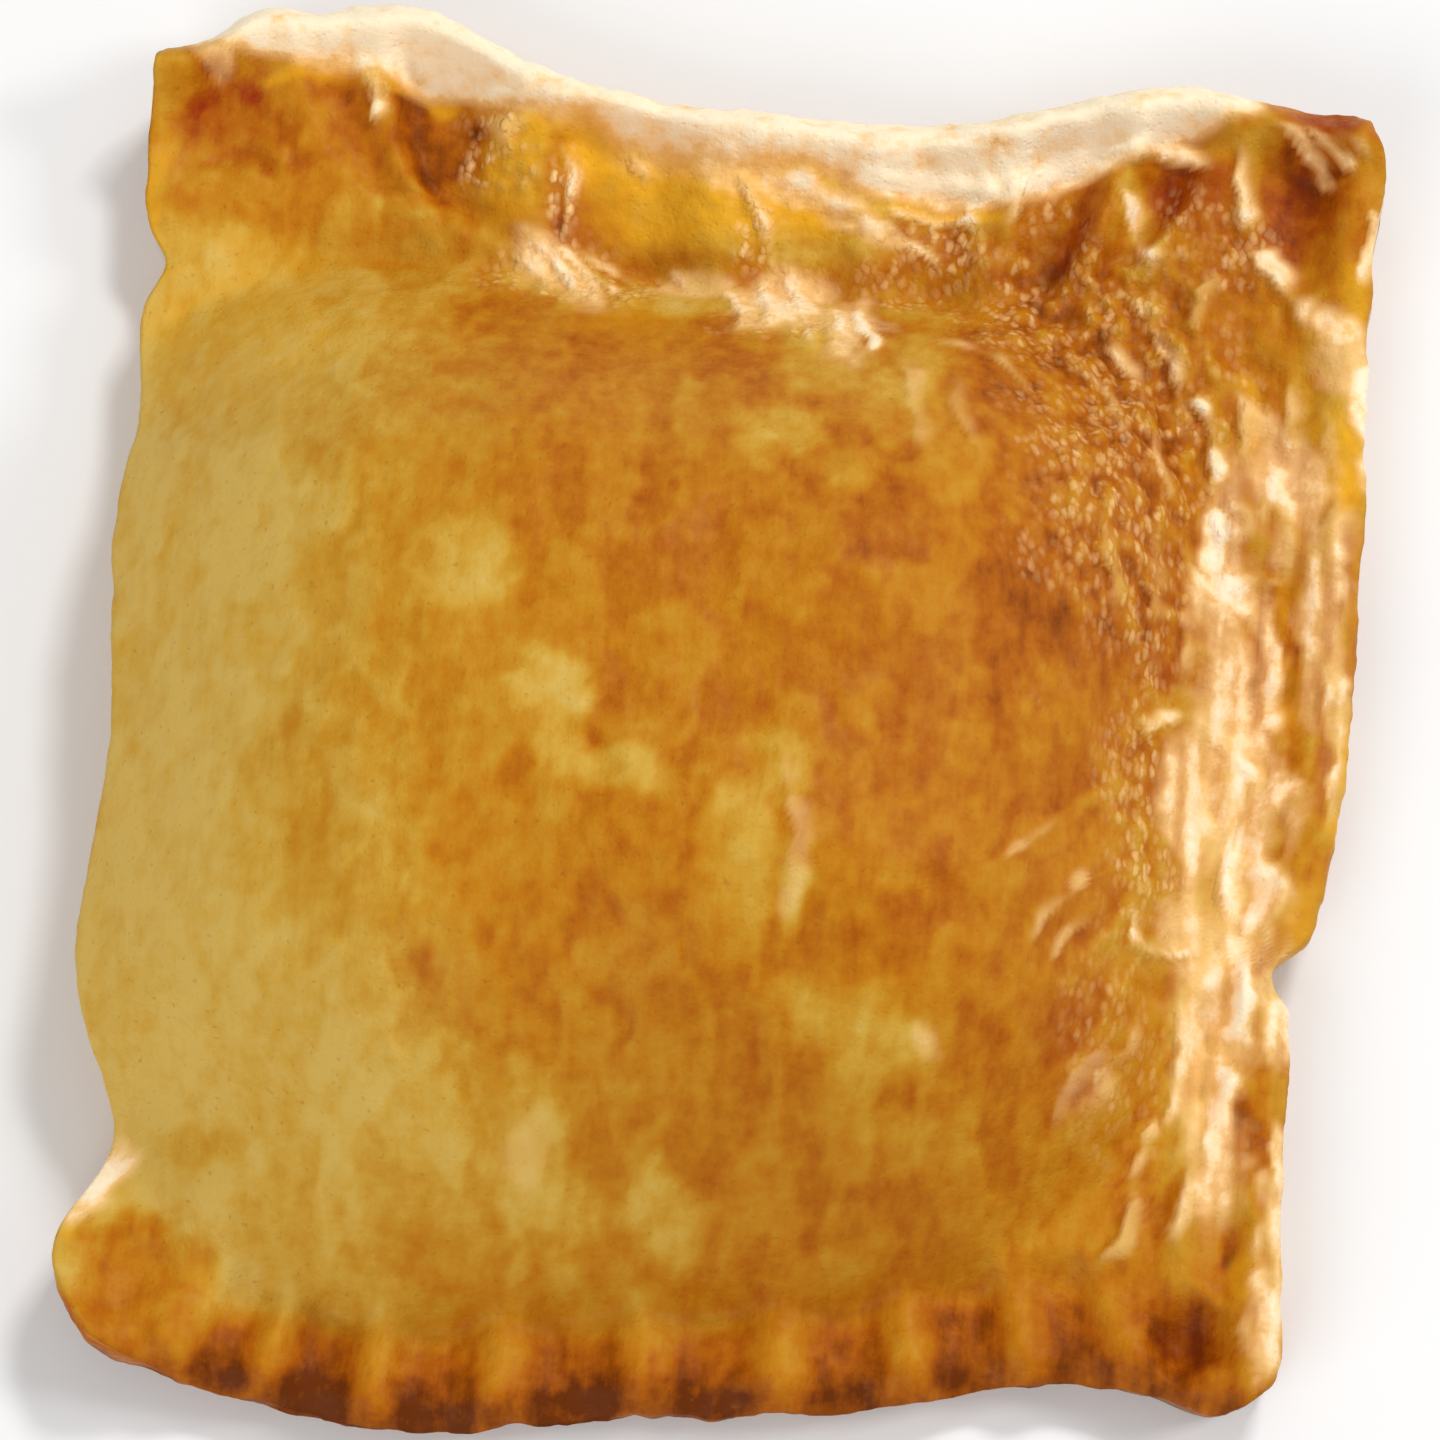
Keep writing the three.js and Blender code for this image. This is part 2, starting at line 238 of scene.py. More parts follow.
def streaks(x: Array, y: Array, seed: int) -> Array:
    """Gives sharp-crested streaks that run along Y.

    Args:
        x: places across, in streaks.
        y: places along, in streak lengths.
        seed: which streaks.

    Returns:
        Heights from about -0.5 to 0.5.
    """
    finer_x, finer_y = STREAK_FINER
    broad_rise, fine_rise = STREAK_RISES
    broad = 1 - np.abs(noise(x, y, seed)) * 2
    fine = 1 - np.abs(noise(finer_x * x + STREAK_SHIFT, finer_y * y, seed + 1)) * 2
    return broad_rise * broad + fine_rise * fine


def flakes(x: Array, y: Array, seed: int) -> Array:
    """Gives thin layers that lie one on another, each with a crisp edge.

    Args:
        x: places across, in flakes.
        y: places along, in flake lengths.
        seed: which flakes.

    Returns:
        Heights from about -0.5 to 0.5.
    """
    height = FLAKE_LAYERS * layered_noise(x, y, seed, 2)
    level = np.floor(height)
    part = height - level
    return (level + mix(ease(part, FLAKE_EDGE, 1), part, FLAKE_SLOPE)) / (2 * FLAKE_LAYERS)


def standing_out(height: Array, side: int, reach: int = 3, passes: int = 2) -> Array:
    """Gives how far each point of a square grid stands above those round it.

    Args:
        height: the points' heights, row by row.
        side: how many points a row has.
        reach: how many points away the ones round it reach.
        passes: how many times the mean is taken.

    Returns:
        Heights over the mean, negative in hollows.
    """
    mean = height.reshape(side, side)
    window = range(2 * reach + 1)
    for _ in range(passes):
        padded = np.pad(mean, reach, mode="edge")
        rows = sum(padded[step : step + side] for step in window) / len(window)
        mean = sum(rows[:, step : step + side] for step in window) / len(window)
    return height - mean.ravel()


def turned(x: Array, y: Array, degrees: float) -> tuple[Array, Array]:
    """Gives places on axes that are turned anticlockwise.

    Args:
        x: places across.
        y: places along.
        degrees: how far the new axes are turned.

    Returns:
        The places across and along the new axes.
    """
    angle = math.radians(degrees)
    return x * math.cos(angle) + y * math.sin(angle), y * math.cos(angle) - x * math.sin(angle)


@dataclass(frozen=True)
class Unevenness:
    """Smooth unevenness: its rise, its size across and along, its seed, and how many noises it adds up."""

    rise: float
    across: float
    along: float
    seed: int
    octaves: int = 1

    def at(self, x: Array, y: Array) -> Array:
        """Gives the unevenness at some places, around 0."""
        return self.rise * layered_noise(x / self.across, y / self.along, self.seed, self.octaves)


class SideName(Enum):
    """The four sides of the pie."""

    BACK = "back"
    RIGHT = "right"
    FRONT = "front"
    LEFT = "left"

    @property
    def upright(self) -> bool:
        """Whether the side runs along Y."""
        return self in (SideName.RIGHT, SideName.LEFT)


class Texture(Enum):
    """The kinds of relief that baking gives the crust."""

    PEBBLES = "pebbles"
    STREAKS = "streaks"
    FLAKES = "flakes"


CORNER_ROUNDINGS = {
    SideName.RIGHT: (0.13, 0.06),
    SideName.BACK: (0.04, 0.06),
    SideName.LEFT: (0.22, 0.04),
    SideName.FRONT: (0.22, 0.13),
}


@dataclass(frozen=True)
class Swell:
    """A place along a side where its outline swells out, or draws in where "out" is negative."""

    at: float
    out: float
    spread: float


@dataclass(frozen=True)
class ForkMarks:
    """The presses of the fork along a side: their middles, their depths, and how far in they run."""

    places: tuple[float, ...]
    presses: tuple[float, ...]
    start: float
    end: float
    lip: float


@dataclass(frozen=True)
class Side:
    """One side: its flat rim, how that tilts, the dome's flank, and how closely this follows the swells."""

    rim: float
    tilt: float
    flank: float
    follow: float
    swells: tuple[Swell, ...]
    marks: ForkMarks | None = None


@dataclass(frozen=True)
class CornerHollow:
    """A hollow at a corner, where two runs of fork marks meet."""

    x: float
    y: float
    half_width: float
    half_length: float
    press: float


@dataclass(frozen=True)
class CornerCurl:
    """A corner of the rim that curls up."""

    x: float
    y: float
    lift: float


@dataclass(frozen=True)
class Patch:
    """A soft-edged oval in plan: its middle, half sizes, turn in degrees, and an amount."""

    x: float
    y: float
    across: float
    along: float
    turn: float = 0.0
    amount: float = 1.0
    core: ClassVar[float] = 0.4
    limit: ClassVar[float] = 1.25
    fray: ClassVar[float] = 0.5
    fray_size: ClassVar[float] = 1.7
    fray_seed: ClassVar[int] = 95

    def share(self, x: Array, y: Array) -> Array:
        """Gives how much of the patch is at some places.

        Args:
            x: places across the pie.
            y: places along it.

        Returns:
            1 in the patch and 0 outside it.
        """
        across, along = turned(x - self.x, y - self.y, self.turn)
        away = np.hypot(across / self.across, along / self.along)
        fray_x, fray_y = x / self.fray_size + self.x, y / self.fray_size + self.y
        frayed = away + self.fray * layered_noise(fray_x, fray_y, self.fray_seed, 4)
        return 1 - ease(frayed, self.core, self.limit)


@dataclass(frozen=True)
class BakedPatch(Patch):
    """A patch baked to a level of its own, from 0, pale straw, to 1, dark brown."""

    level: float = 0.5


@dataclass(frozen=True)
class ReliefPatch:
    """A patch with a texture: the texture's kind, its size across and along, its turn and its rise."""

    patch: Patch
    texture: Texture
    across: float
    along: float
    turn: float
    rise: float
    seed: int

    def lift(self, x: Array, y: Array) -> Array:
        """Gives the height that the texture adds.

        Args:
            x: places across the pie.
            y: places along it.

        Returns:
            Heights in millimetres.
        """
        make = {Texture.PEBBLES: pebbles, Texture.STREAKS: streaks, Texture.FLAKES: flakes}[self.texture]
        across, along = turned(x, y, self.turn)
        bumps = make(across / self.across, along / self.along, self.seed)
        return self.rise * self.patch.share(x, y) * bumps


@dataclass(frozen=True)
class Wrinkle:
    """A ragged ridge from one place to another: bowed and gentle on its left, and steep on its right."""

    start: Pair
    end: Pair
    bow: float
    width: float
    rise: float
    # The crest's cream: painted highlight with pale dry flakes
    cream: float = 0.0
    path: ClassVar[Unevenness] = Unevenness(0.7, 1.3, 1, seed=58, octaves=2)
    change: ClassVar[Unevenness] = Unevenness(0.45, 1.1, 1, seed=59)
    mean_strength: ClassVar[float] = 0.75
    overrun: ClassVar[float] = 0.1
    taper: ClassVar[float] = 0.3
    gentle: ClassVar[float] = 2.2
    steep: ClassVar[float] = 0.6

    def crest(self, x: Array, y: Array) -> Array:
        """Gives how much of the ridge is at some places.

        Args:
            x: places across the pie.
            y: places along it.

        Returns:
            1 on its crest, falling to 0 beside it.
        """
        run = np.subtract(self.end, self.start)
        length = float(np.hypot(*run))
        along = ((x - self.start[0]) * run[0] + (y - self.start[1]) * run[1]) / length**2
        side = ((y - self.start[1]) * run[0] - (x - self.start[0]) * run[1]) / length
        ragged = self.path.at(along * length, self.start[0] + self.end[1])
        side = side - self.bow * 4 * along * (1 - along) - self.width * ragged
        begun = ease(along, -self.overrun, self.taper)
        ended = ease(along, 1 - self.taper, 1 + self.overrun)
        strength = self.mean_strength + self.change.at(along * length, self.start[1] + self.end[0])
        spread = self.width * np.where(side > 0, self.gentle, self.steep)
        return begun * (1 - ended) * strength * bell(side, spread)


@dataclass(frozen=True)
class CrustyIslands:
    """The islands of paler skin on the crown: their edges are crisp, and they follow the dough's folds."""

    upright: Unevenness = Unevenness(1, 2.0, 3.6, seed=81, octaves=3)
    swept: Unevenness = Unevenness(1, 1.4, 5, seed=87, octaves=3)
    bend_across: Unevenness = Unevenness(0.9, 1.7, 1.7, seed=83, octaves=2)
    bend_along: Unevenness = Unevenness(0.9, 1.7, 1.7, seed=85, octaves=2)
    sweep_turn: float = -32
    sweep_lean: float = 0.4
    sweep_rightward: Pair = (6, 16)
    sweep_backward: Pair = (-8, 2)
    edge: float = 0.26

    def height(self, x: Array, y: Array) -> Array:
        """Gives the islands.

        Args:
            x: places across the pie.
            y: places along it.

        Returns:
            Numbers from -1, between the islands, to 1, on them.
        """
        bent_x, bent_y = x + self.bend_across.at(x, y), y + self.bend_along.at(x, y)
        sweep = ease(x + self.sweep_lean * y, *self.sweep_rightward) * (1 - ease(y, *self.sweep_backward))
        swept = self.swept.at(*turned(bent_x, bent_y, self.sweep_turn))
        return 1 - 2 * ease(mix(self.upright.at(bent_x, bent_y), swept, sweep), -self.edge, self.edge)


def default_sides() -> dict[SideName, Side]:
    """Gives the four sides, with the sizes of the solid.

    Returns:
        The sides by name.
    """
    back = Side(
        rim=10.4,
        tilt=1.1,
        flank=22,
        follow=0.1,
        swells=(Swell(-20, 3.5, 7), Swell(-27, 1.5, 2.5), Swell(5.5, -1.5, 14), Swell(21.5, 2, 8)),
        marks=ForkMarks(
            places=(-24, -18.5, -7, 2.5, 9.5, 16.5, 22.5),
            presses=(0.5, 1.5, 1.2, 0.7, 0.8, 1.4, 1.4),
            start=2.9,
            end=8.9,
            lip=1.6,
        ),
    )
    right = Side(
        rim=6.4,
        tilt=0.5,
        flank=21,
        follow=0.2,
        swells=(
            Swell(32, 0.5, 2),
            Swell(12, 0.5, 14),
            Swell(-12, -1.5, 1.5),
            Swell(-13.5, -1.2, 8),
            Swell(-26.5, -1.8, 12.5),
        ),
        marks=ForkMarks(
            places=(-17.5, -5.5, 2.5, 8, 16.5, 21.5),
            presses=(0.5, 0.7, 0.8, 0.6, 0.8, 0.4),
            start=1.8,
            end=5.2,
            lip=0.7,
        ),
    )
    front = Side(
        rim=5.2,
        tilt=-0.5,
        flank=21,
        follow=1,
        swells=(Swell(-27, -0.5, 1.5), Swell(-13.5, 1.8, 8), Swell(21, -3, 11), Swell(27.5, 0.5, 2)),
        marks=ForkMarks(
            places=(-23.5, -18.3, -12.3, -5, 2.2, 9, 15.3, 21),
            presses=(0.9, 1.3, 1.4, 1.5, 1.2, 1.3, 1.2, 0.8),
            start=0.9,
            end=5,
            lip=0.3,
        ),
    )
    left = Side(
        rim=-3.2,
        tilt=0,
        flank=22,
        follow=1,
        swells=(
            Swell(23.5, -1.3, 2),
            Swell(15.5, -0.8, 4),
            Swell(-3, -1, 8),
            Swell(-24, -3, 5.5),
            Swell(-28.5, 1, 3),
        ),
    )
    return {SideName.BACK: back, SideName.RIGHT: right, SideName.FRONT: front, SideName.LEFT: left}


@dataclass(frozen=True)
class CrustForm:
    """The solid's form: a dome in the middle, a pressed rim on three sides, and a fold on the left."""

    half_width: float = 32.4
    half_depth: float = 35.6
    height: float = 21.8
    sides: dict[SideName, Side] = field(default_factory=default_sides)
    crimped: tuple[SideName, ...] = (SideName.BACK, SideName.RIGHT, SideName.FRONT)
    mark_floor: float = 0.1
    mark_wall: float = 0.5
    mark_slope: float = 2.2
    rim_thickness: float = 4.0
    lip_place: float = 1.6
    lip_spread: float = 1.3
    edge_rounding: float = 1.5
    edge_drop: float = 0.9
    hollows: tuple[CornerHollow, ...] = (
        CornerHollow(28.9, 31.2, 2.6, 4.6, 1.5),
        CornerHollow(-28.5, 31.4, 3.6, 3.2, 0.9),
        CornerHollow(-28, -31, 2.4, 3.4, 1.1),
        CornerHollow(26, -30, 2.5, 2, 1.6),
        CornerHollow(28, -26, 1.5, 2.4, 1.2),
    )
    curls: tuple[CornerCurl, ...] = (
        CornerCurl(33, 36, 0.9),
        CornerCurl(-33, 36, 1.1),
        CornerCurl(-31, -33, 1.6),
        CornerCurl(31, -33, 0.5),
    )
    curl_reach: float = 13
    dome_corner_power: float = 3
    flank_curve: float = 2.3
    crown_swell: float = 3.6
    foot_fillet: float = 0.1
    foot_groove: float = 0.4
    foot_groove_spread: float = 1.1
    hollow_slope: Pair = (0.1, 1.4)
    hollow_wobble: Unevenness = Unevenness(0.25, 1.7, 1.7, seed=12)
    crest_rise: float = 0.9
    crest_inset: float = 6.2
    crest_spread: float = 0.9
    crest_wander: Unevenness = Unevenness(0.8, 7, 1, seed=11)
    crest_run: Triple = (-25, 15, 5)
    blisters: Unevenness = Unevenness(0.55, 2.6, 6, seed=5)
    blister_inset: float = 13
    blister_spread: float = 6
    blister_run: Triple = (-6, 30, 6)
    lumps: Unevenness = Unevenness(0.7, 11, 11, seed=1)
    lumps_on_rim: float = 0.3
    dimples: Unevenness = Unevenness(0.3, 5, 5, seed=2)
    fold_from_back: Pair = (9, 13)
    fold_from_front: Pair = (8, 14)
    fold_depth: Pair = (1, 6)

    def half_span(self, name: SideName) -> float:
        """Gives half the pie's size towards a side."""
        return self.half_width if name.upright else self.half_depth

    def swell(self, name: SideName, along: Array) -> Array:
        """Gives how far a side's outline swells out at places along it."""
        return sum(one.out * bell(along - one.at, one.spread) for one in self.sides[name].swells)

    def plan(self, u: Array, v: Array) -> tuple[Array, Array]:
        """Places points of the drawing square on the plan.

        Args:
            u: places across the square, from -1 to 1.
            v: places along it.

        Returns:
            The places across and along the pie.
        """
        rough_y = v * self.half_depth
        left = -self.half_width - self.swell(SideName.LEFT, rough_y)
        right = self.half_width + self.swell(SideName.RIGHT, rough_y)
        x = mix(left, right, (u + 1) / 2)
        front = -self.half_depth - self.swell(SideName.FRONT, x)
        back = self.half_depth + self.swell(SideName.BACK, x)
        return x, mix(front, back, (v + 1) / 2)

    def inset(self, name: SideName, x: Array, y: Array, follow: float = 1.0) -> Array:
        """Gives how far places lie inside a side.

        Args:
            name: the side.
            x: places across the pie.
            y: places along it.
            follow: how much of the side's swells counts.

        Returns:
            Distances in millimetres, positive inside.
        """
        along = y if name.upright else x
        outward = {SideName.RIGHT: x, SideName.LEFT: -x, SideName.BACK: y, SideName.FRONT: -y}[name]
        return self.half_span(name) + follow * self.swell(name, along) - outward

    def dome_share(self, x: Array, y: Array) -> Array:
        """Gives 0 on the rim and 1 on the crown, with rounded corners between two flanks."""
        fall = np.zeros_like(x)
        for name, side in self.sides.items():
            inset = self.inset(name, x, y, side.follow)
            to_climb = np.clip((side.rim + side.flank - inset) / side.flank, 0, 1)
            fall = fall + to_climb**self.dome_corner_power
        climbed = 1 - np.minimum(1, fall ** (1 / self.dome_corner_power))
        fillet = climbed * (1 + self.foot_fillet) / (climbed + self.foot_fillet)
        return (1 - (1 - climbed) ** self.flank_curve) * fillet

    def press_at(self, marks: ForkMarks, along: Array) -> Array:
        """Gives how deep the fork pressed at places along a side: 0 on the ridges between marks."""
        places = np.array(marks.places)
        before = np.clip(np.searchsorted(places, along, side="right") - 1, 0, len(places) - 2)
        index = before + (along - places[before]) / (places[before + 1] - places[before])
        nearest = np.clip(np.floor(index + 0.5), 0, len(places) - 1).astype(int)
        floor = 1 - ease(np.abs(index - nearest), self.mark_floor, self.mark_wall)
        return np.array(marks.presses)[nearest] * floor

    def pressed(self, x: Array, y: Array, sides: Array, along: Array) -> Array:
        """Gives how deep the crust is pressed.

        Args:
            x: places across the pie.
            y: places along it.
            sides: each place's side, as its number among the names of the sides.
            along: where each place's line to the edge meets that side.

        Returns:
            Depths in millimetres.
        """
        deepest = np.zeros_like(x)
        for hollow in self.hollows:
            away = np.hypot((x - hollow.x) / hollow.half_width, (y - hollow.y) / hollow.half_length)
            away = away + self.hollow_wobble.at(x, y)
            deepest = np.maximum(deepest, hollow.press * (1 - ease(away, *self.hollow_slope)))
        for number, name in enumerate(SideName):
            marks = self.sides[name].marks
            if marks is not None:
                inside = between(self.inset(name, x, y), marks.start, marks.end, self.mark_slope)
                press = inside * self.press_at(marks, along)
                deepest = np.where(sides == number, np.maximum(deepest, press), deepest)
        return deepest

    def rim_rise(self, x: Array, y: Array) -> Array:
        """Gives how far the rim stands above its plain thickness: it tilts, has a lip and rounds off."""
        tilted = np.zeros_like(x)
        lip = np.zeros_like(x)
        drop = np.zeros_like(x)
        for name in self.crimped:
            side = self.sides[name]
            inset = self.inset(name, x, y)
            foot = self.inset(name, x, y, side.follow) - side.rim
            tilted = tilted + side.tilt * (1 - np.clip(inset / side.rim, 0, 1))
            lip = np.maximum(lip, side.marks.lip * bell(inset - self.lip_place, self.lip_spread))
            drop = np.maximum(drop, self.edge_drop * (1 - np.clip(inset / self.edge_rounding, 0, 1)) ** 2)
            drop = np.maximum(drop, self.foot_groove * bell(foot, self.foot_groove_spread))
        return tilted + lip - drop

    def shoulder_relief(self, x: Array, y: Array) -> Array:
        """Gives the crest and the broad blisters on the right shoulder."""
        inset = self.inset(SideName.RIGHT, x, y, self.sides[SideName.RIGHT].follow)
        crest_inset = self.crest_inset + self.crest_wander.at(y, 0)
        crest = between(y, *self.crest_run) * bell(inset - crest_inset, self.crest_spread)
        patch = bell(inset - self.blister_inset, self.blister_spread) * between(y, *self.blister_run)
        return self.crest_rise * crest + patch * self.blisters.at(x, y)

    def corner_curl(self, x: Array, y: Array) -> Array:
        """Gives how far the corners curl up."""
        total = np.zeros_like(x)
        for corner in self.curls:
            near = 1 - np.clip(np.hypot(x - corner.x, y - corner.y) / self.curl_reach, 0, 1)
            total = total + corner.lift * near * near
        return total

    def unpressed_height(self, x: Array, y: Array) -> Array:
        """Gives the height of the solid's upper face without its fork marks and hollows."""
        dome = self.dome_share(x, y)
        crown = self.crown_swell * dome * (1 - (x / self.half_width) ** 2) * (1 - (y / self.half_depth) ** 2)
        climb = (self.height - self.rim_thickness - self.crown_swell) * dome
        lumps = self.lumps.at(x, y) * mix(self.lumps_on_rim, 1, dome)
        bumps = lumps + self.dimples.at(x, y) + self.shoulder_relief(x, y)
        return self.rim_thickness + climb + crown + bumps + self.rim_rise(x, y) + self.corner_curl(x, y)

    def fold_share(self, x: Array, y: Array) -> Array:
        """Gives 1 on the edge of the folded side and 0 along the cut edges."""
        back = ease(self.inset(SideName.BACK, x, y), *self.fold_from_back)
        front = ease(self.inset(SideName.FRONT, x, y), *self.fold_from_front)
        left = ease(self.inset(SideName.LEFT, x, y), *self.fold_depth)
        return back * front * (1 - left)


def rows_of(kind: type, *rows: tuple) -> tuple:
    """Makes one object from each row of values, which stand in the order of its class's fields."""
    return tuple(kind(*row) for row in rows)


# Where the crust is paler or browner than its surroundings: x, y, across, along, turn, amount, level; some
# rows paint light
PALE_PATCHES = rows_of(
    BakedPatch,
    (-27, 16, 5, 8, 0, 0.8, 0.17),
    # Painted light: this row lightens the shade along the left fold
    (-31.4, 12, 2, 9, 0, 0.7, 0.0),
    (-23, 21, 8, 4, 0, 0.7, 0.27),
    (-24.5, 7, 3.2, 3.6, 30, 0.9, 0.0),
    (-27.5, -3, 4, 12, 0, 0.9, 0.05),
    (-25.5, -13, 5, 10, 0, 0.8, 0.03),
    (-21, -21, 8, 4, 0, 0.8, 0.07),
    (-15, -24, 5.4, 3.8, 0, 0.85, 0.08),
    (-21, -27.5, 6, 2, 0, 0.6, 0.2),
    (-12.5, 3, 3.2, 2.5, 0, 0.8, 0.16),
    (-17, -12, 2.2, 3, 0, 0.7, 0.18),
    (-17.5, -16.5, 2.5, 2.2, 0, 0.7, 0.22),
    # These three rows are painted highlights on the back shoulder
    (-9.5, 24, 4, 2, 0, 0.8, 0.12),
    (-5, 23.6, 4.5, 2.8, 0, 0.7, 0.22),
    (3, 22, 3.5, 4, 0, 0.9, 0.14),
    (4, 17.5, 2.2, 3, 0, 0.7, 0.28),
    (8.5, 17, 2.6, 5, 0, 0.9, 0.3),
    (2, 12.5, 2.6, 2.6, 0, 0.9, 0.2),
    (5.5, 10, 3, 2, 0, 0.6, 0.34),
    (11, 12, 2.5, 4, 0, 0.5, 0.42),
    (-8, -3, 2.2, 2.6, 20, 0.9, 0.07),
    (-4.5, -7, 4.8, 1.3, -24, 0.85, 0.17),
    (3.0, -6.8, 1.9, 4.2, -18, 0.8, 0.2),
    (1.8, -10.4, 2.6, 2.4, 0, 0.6, 0.26),
    (2.2, -13, 2.5, 3, 0, 0.85, 0.22),
    (4.7, -12.5, 1.2, 1.8, 0, 0.8, 0.08),
    (8, -18, 3.4, 2.2, -20, 0.85, 0.24),
    (11.5, -18.3, 0.9, 0.9, 0, 0.7, 0.06),
    (10.5, -22, 4, 2, -10, 0.7, 0.36),
    (-1, -26.5, 2.8, 1.9, 0, 0.8, 0.14),
    (-6.4, -26.6, 3.4, 1.7, 0, 0.8, 0.16),
    (-10, -27.3, 7, 2.6, 0, 0.6, 0.3),
    (-8.2, -24.6, 2.6, 2.2, 0, 0.8, 0.12),
    (-2.5, -29.5, 1.6, 1.3, 0, 0.6, 0.27),
    (2, -30.7, 1.1, 0.7, 0, 0.6, 0.22),
)
OCHRE_PATCHES = rows_of(
    BakedPatch,
    (-24, -24.3, 3, 1, 0, 0.7, 0.33),
    (-19, 9.3, 3.6, 1.5, -25, 0.85, 0.34),
    (-15.5, 5.7, 3, 2, -20, 0.85, 0.37),
    (-20.5, -7, 2, 3.2, 10, 0.9, 0.38),
    (-19.5, -11.5, 1.8, 2.5, 0, 0.8, 0.38),
    (-22.5, -9, 1.4, 5, 0, 0.6, 0.28),
    (-18.5, -1.5, 2.2, 2.2, 0, 0.7, 0.38),
    (-13.5, -3.5, 2.2, 1.2, 0, 0.8, 0.4),
    (-15, 13.7, 3, 1.2, 0, 0.7, 0.34),
    (-17, 19, 2.5, 4, 0, 0.6, 0.36),
    (-21, 25.4, 6, 2, 0, 0.7, 0.5),
    (-7.5, -8.7, 1.4, 1.1, 0, 0.8, 0.38),
    (-9.5, -22, 2, 1.9, 0, 0.85, 0.36),
    (-12, -29, 5, 1.2, 5, 0.5, 0.42),
)
BROWN_PATCHES = rows_of(
    BakedPatch,
    (-13, 20, 3.5, 2.5, -10, 0.9, 0.62),
    (-9.5, 17, 2.8, 3.5, -15, 0.9, 0.66),
    (-7.5, 12.5, 2.5, 3, -10, 0.9, 0.6),
    (-3.5, 15, 2.5, 5, 0, 0.8, 0.5),
    (2, 5.5, 3.2, 2.6, 0, 0.9, 0.63),
    (-1, 1, 5, 3, 0, 0.6, 0.54),
    (6.5, 0, 6, 5, 0, 0.7, 0.57),
    (11, -5, 6, 8, 0, 0.45, 0.66),
    (-8, 3, 2, 2, 0, 0.6, 0.5),
    (-3, -5.3, 2, 1, 0, 0.7, 0.5),
    (-0.5, -8, 1, 1.6, 0, 0.7, 0.55),
    (-6, -13, 3, 2.5, 0, 0.7, 0.62),
    (-9, -17, 5, 3, 0, 0.7, 0.58),
    (-14.2, -16.7, 1, 1.2, 0, 0.8, 0.66),
    (-1, -18, 2.2, 1.4, -15, 0.8, 0.75),
    (3, -20.5, 4, 1.9, -10, 0.8, 0.62),
    (-2, -22, 4, 1.8, 0, 0.7, 0.5),
    (16, 4.5, 3.6, 2.8, -10, 0.9, 0.78),
    (14.5, 0.6, 3, 2.4, 0, 0.7, 0.7),
    (17, -4, 2.5, 3.5, -15, 0.8, 0.66),
    (18, -8.5, 3, 2, 0, 0.6, 0.55),
    (17, -11, 3, 3, -20, 0.6, 0.58),
    (18.5, -17, 2.3, 3.6, -15, 0.8, 0.7),
    (16, -28, 6, 4, 0, 0.7, 0.58),
    (20, -24, 4, 3, 0, 0.5, 0.55),
    (19, 12, 4.5, 9, 0, 0.8, 0.67),
    (17, 22, 4, 4, 0, 0.8, 0.66),
    (21, 20, 2.5, 4, 10, 0.6, 0.7),
    (21.5, 6, 3, 6, 0, 0.8, 0.64),
    (21, -6.5, 2.4, 5, 0, 0.6, 0.42),
    (23, 25.5, 3, 2, 0, 0.6, 0.62),
)
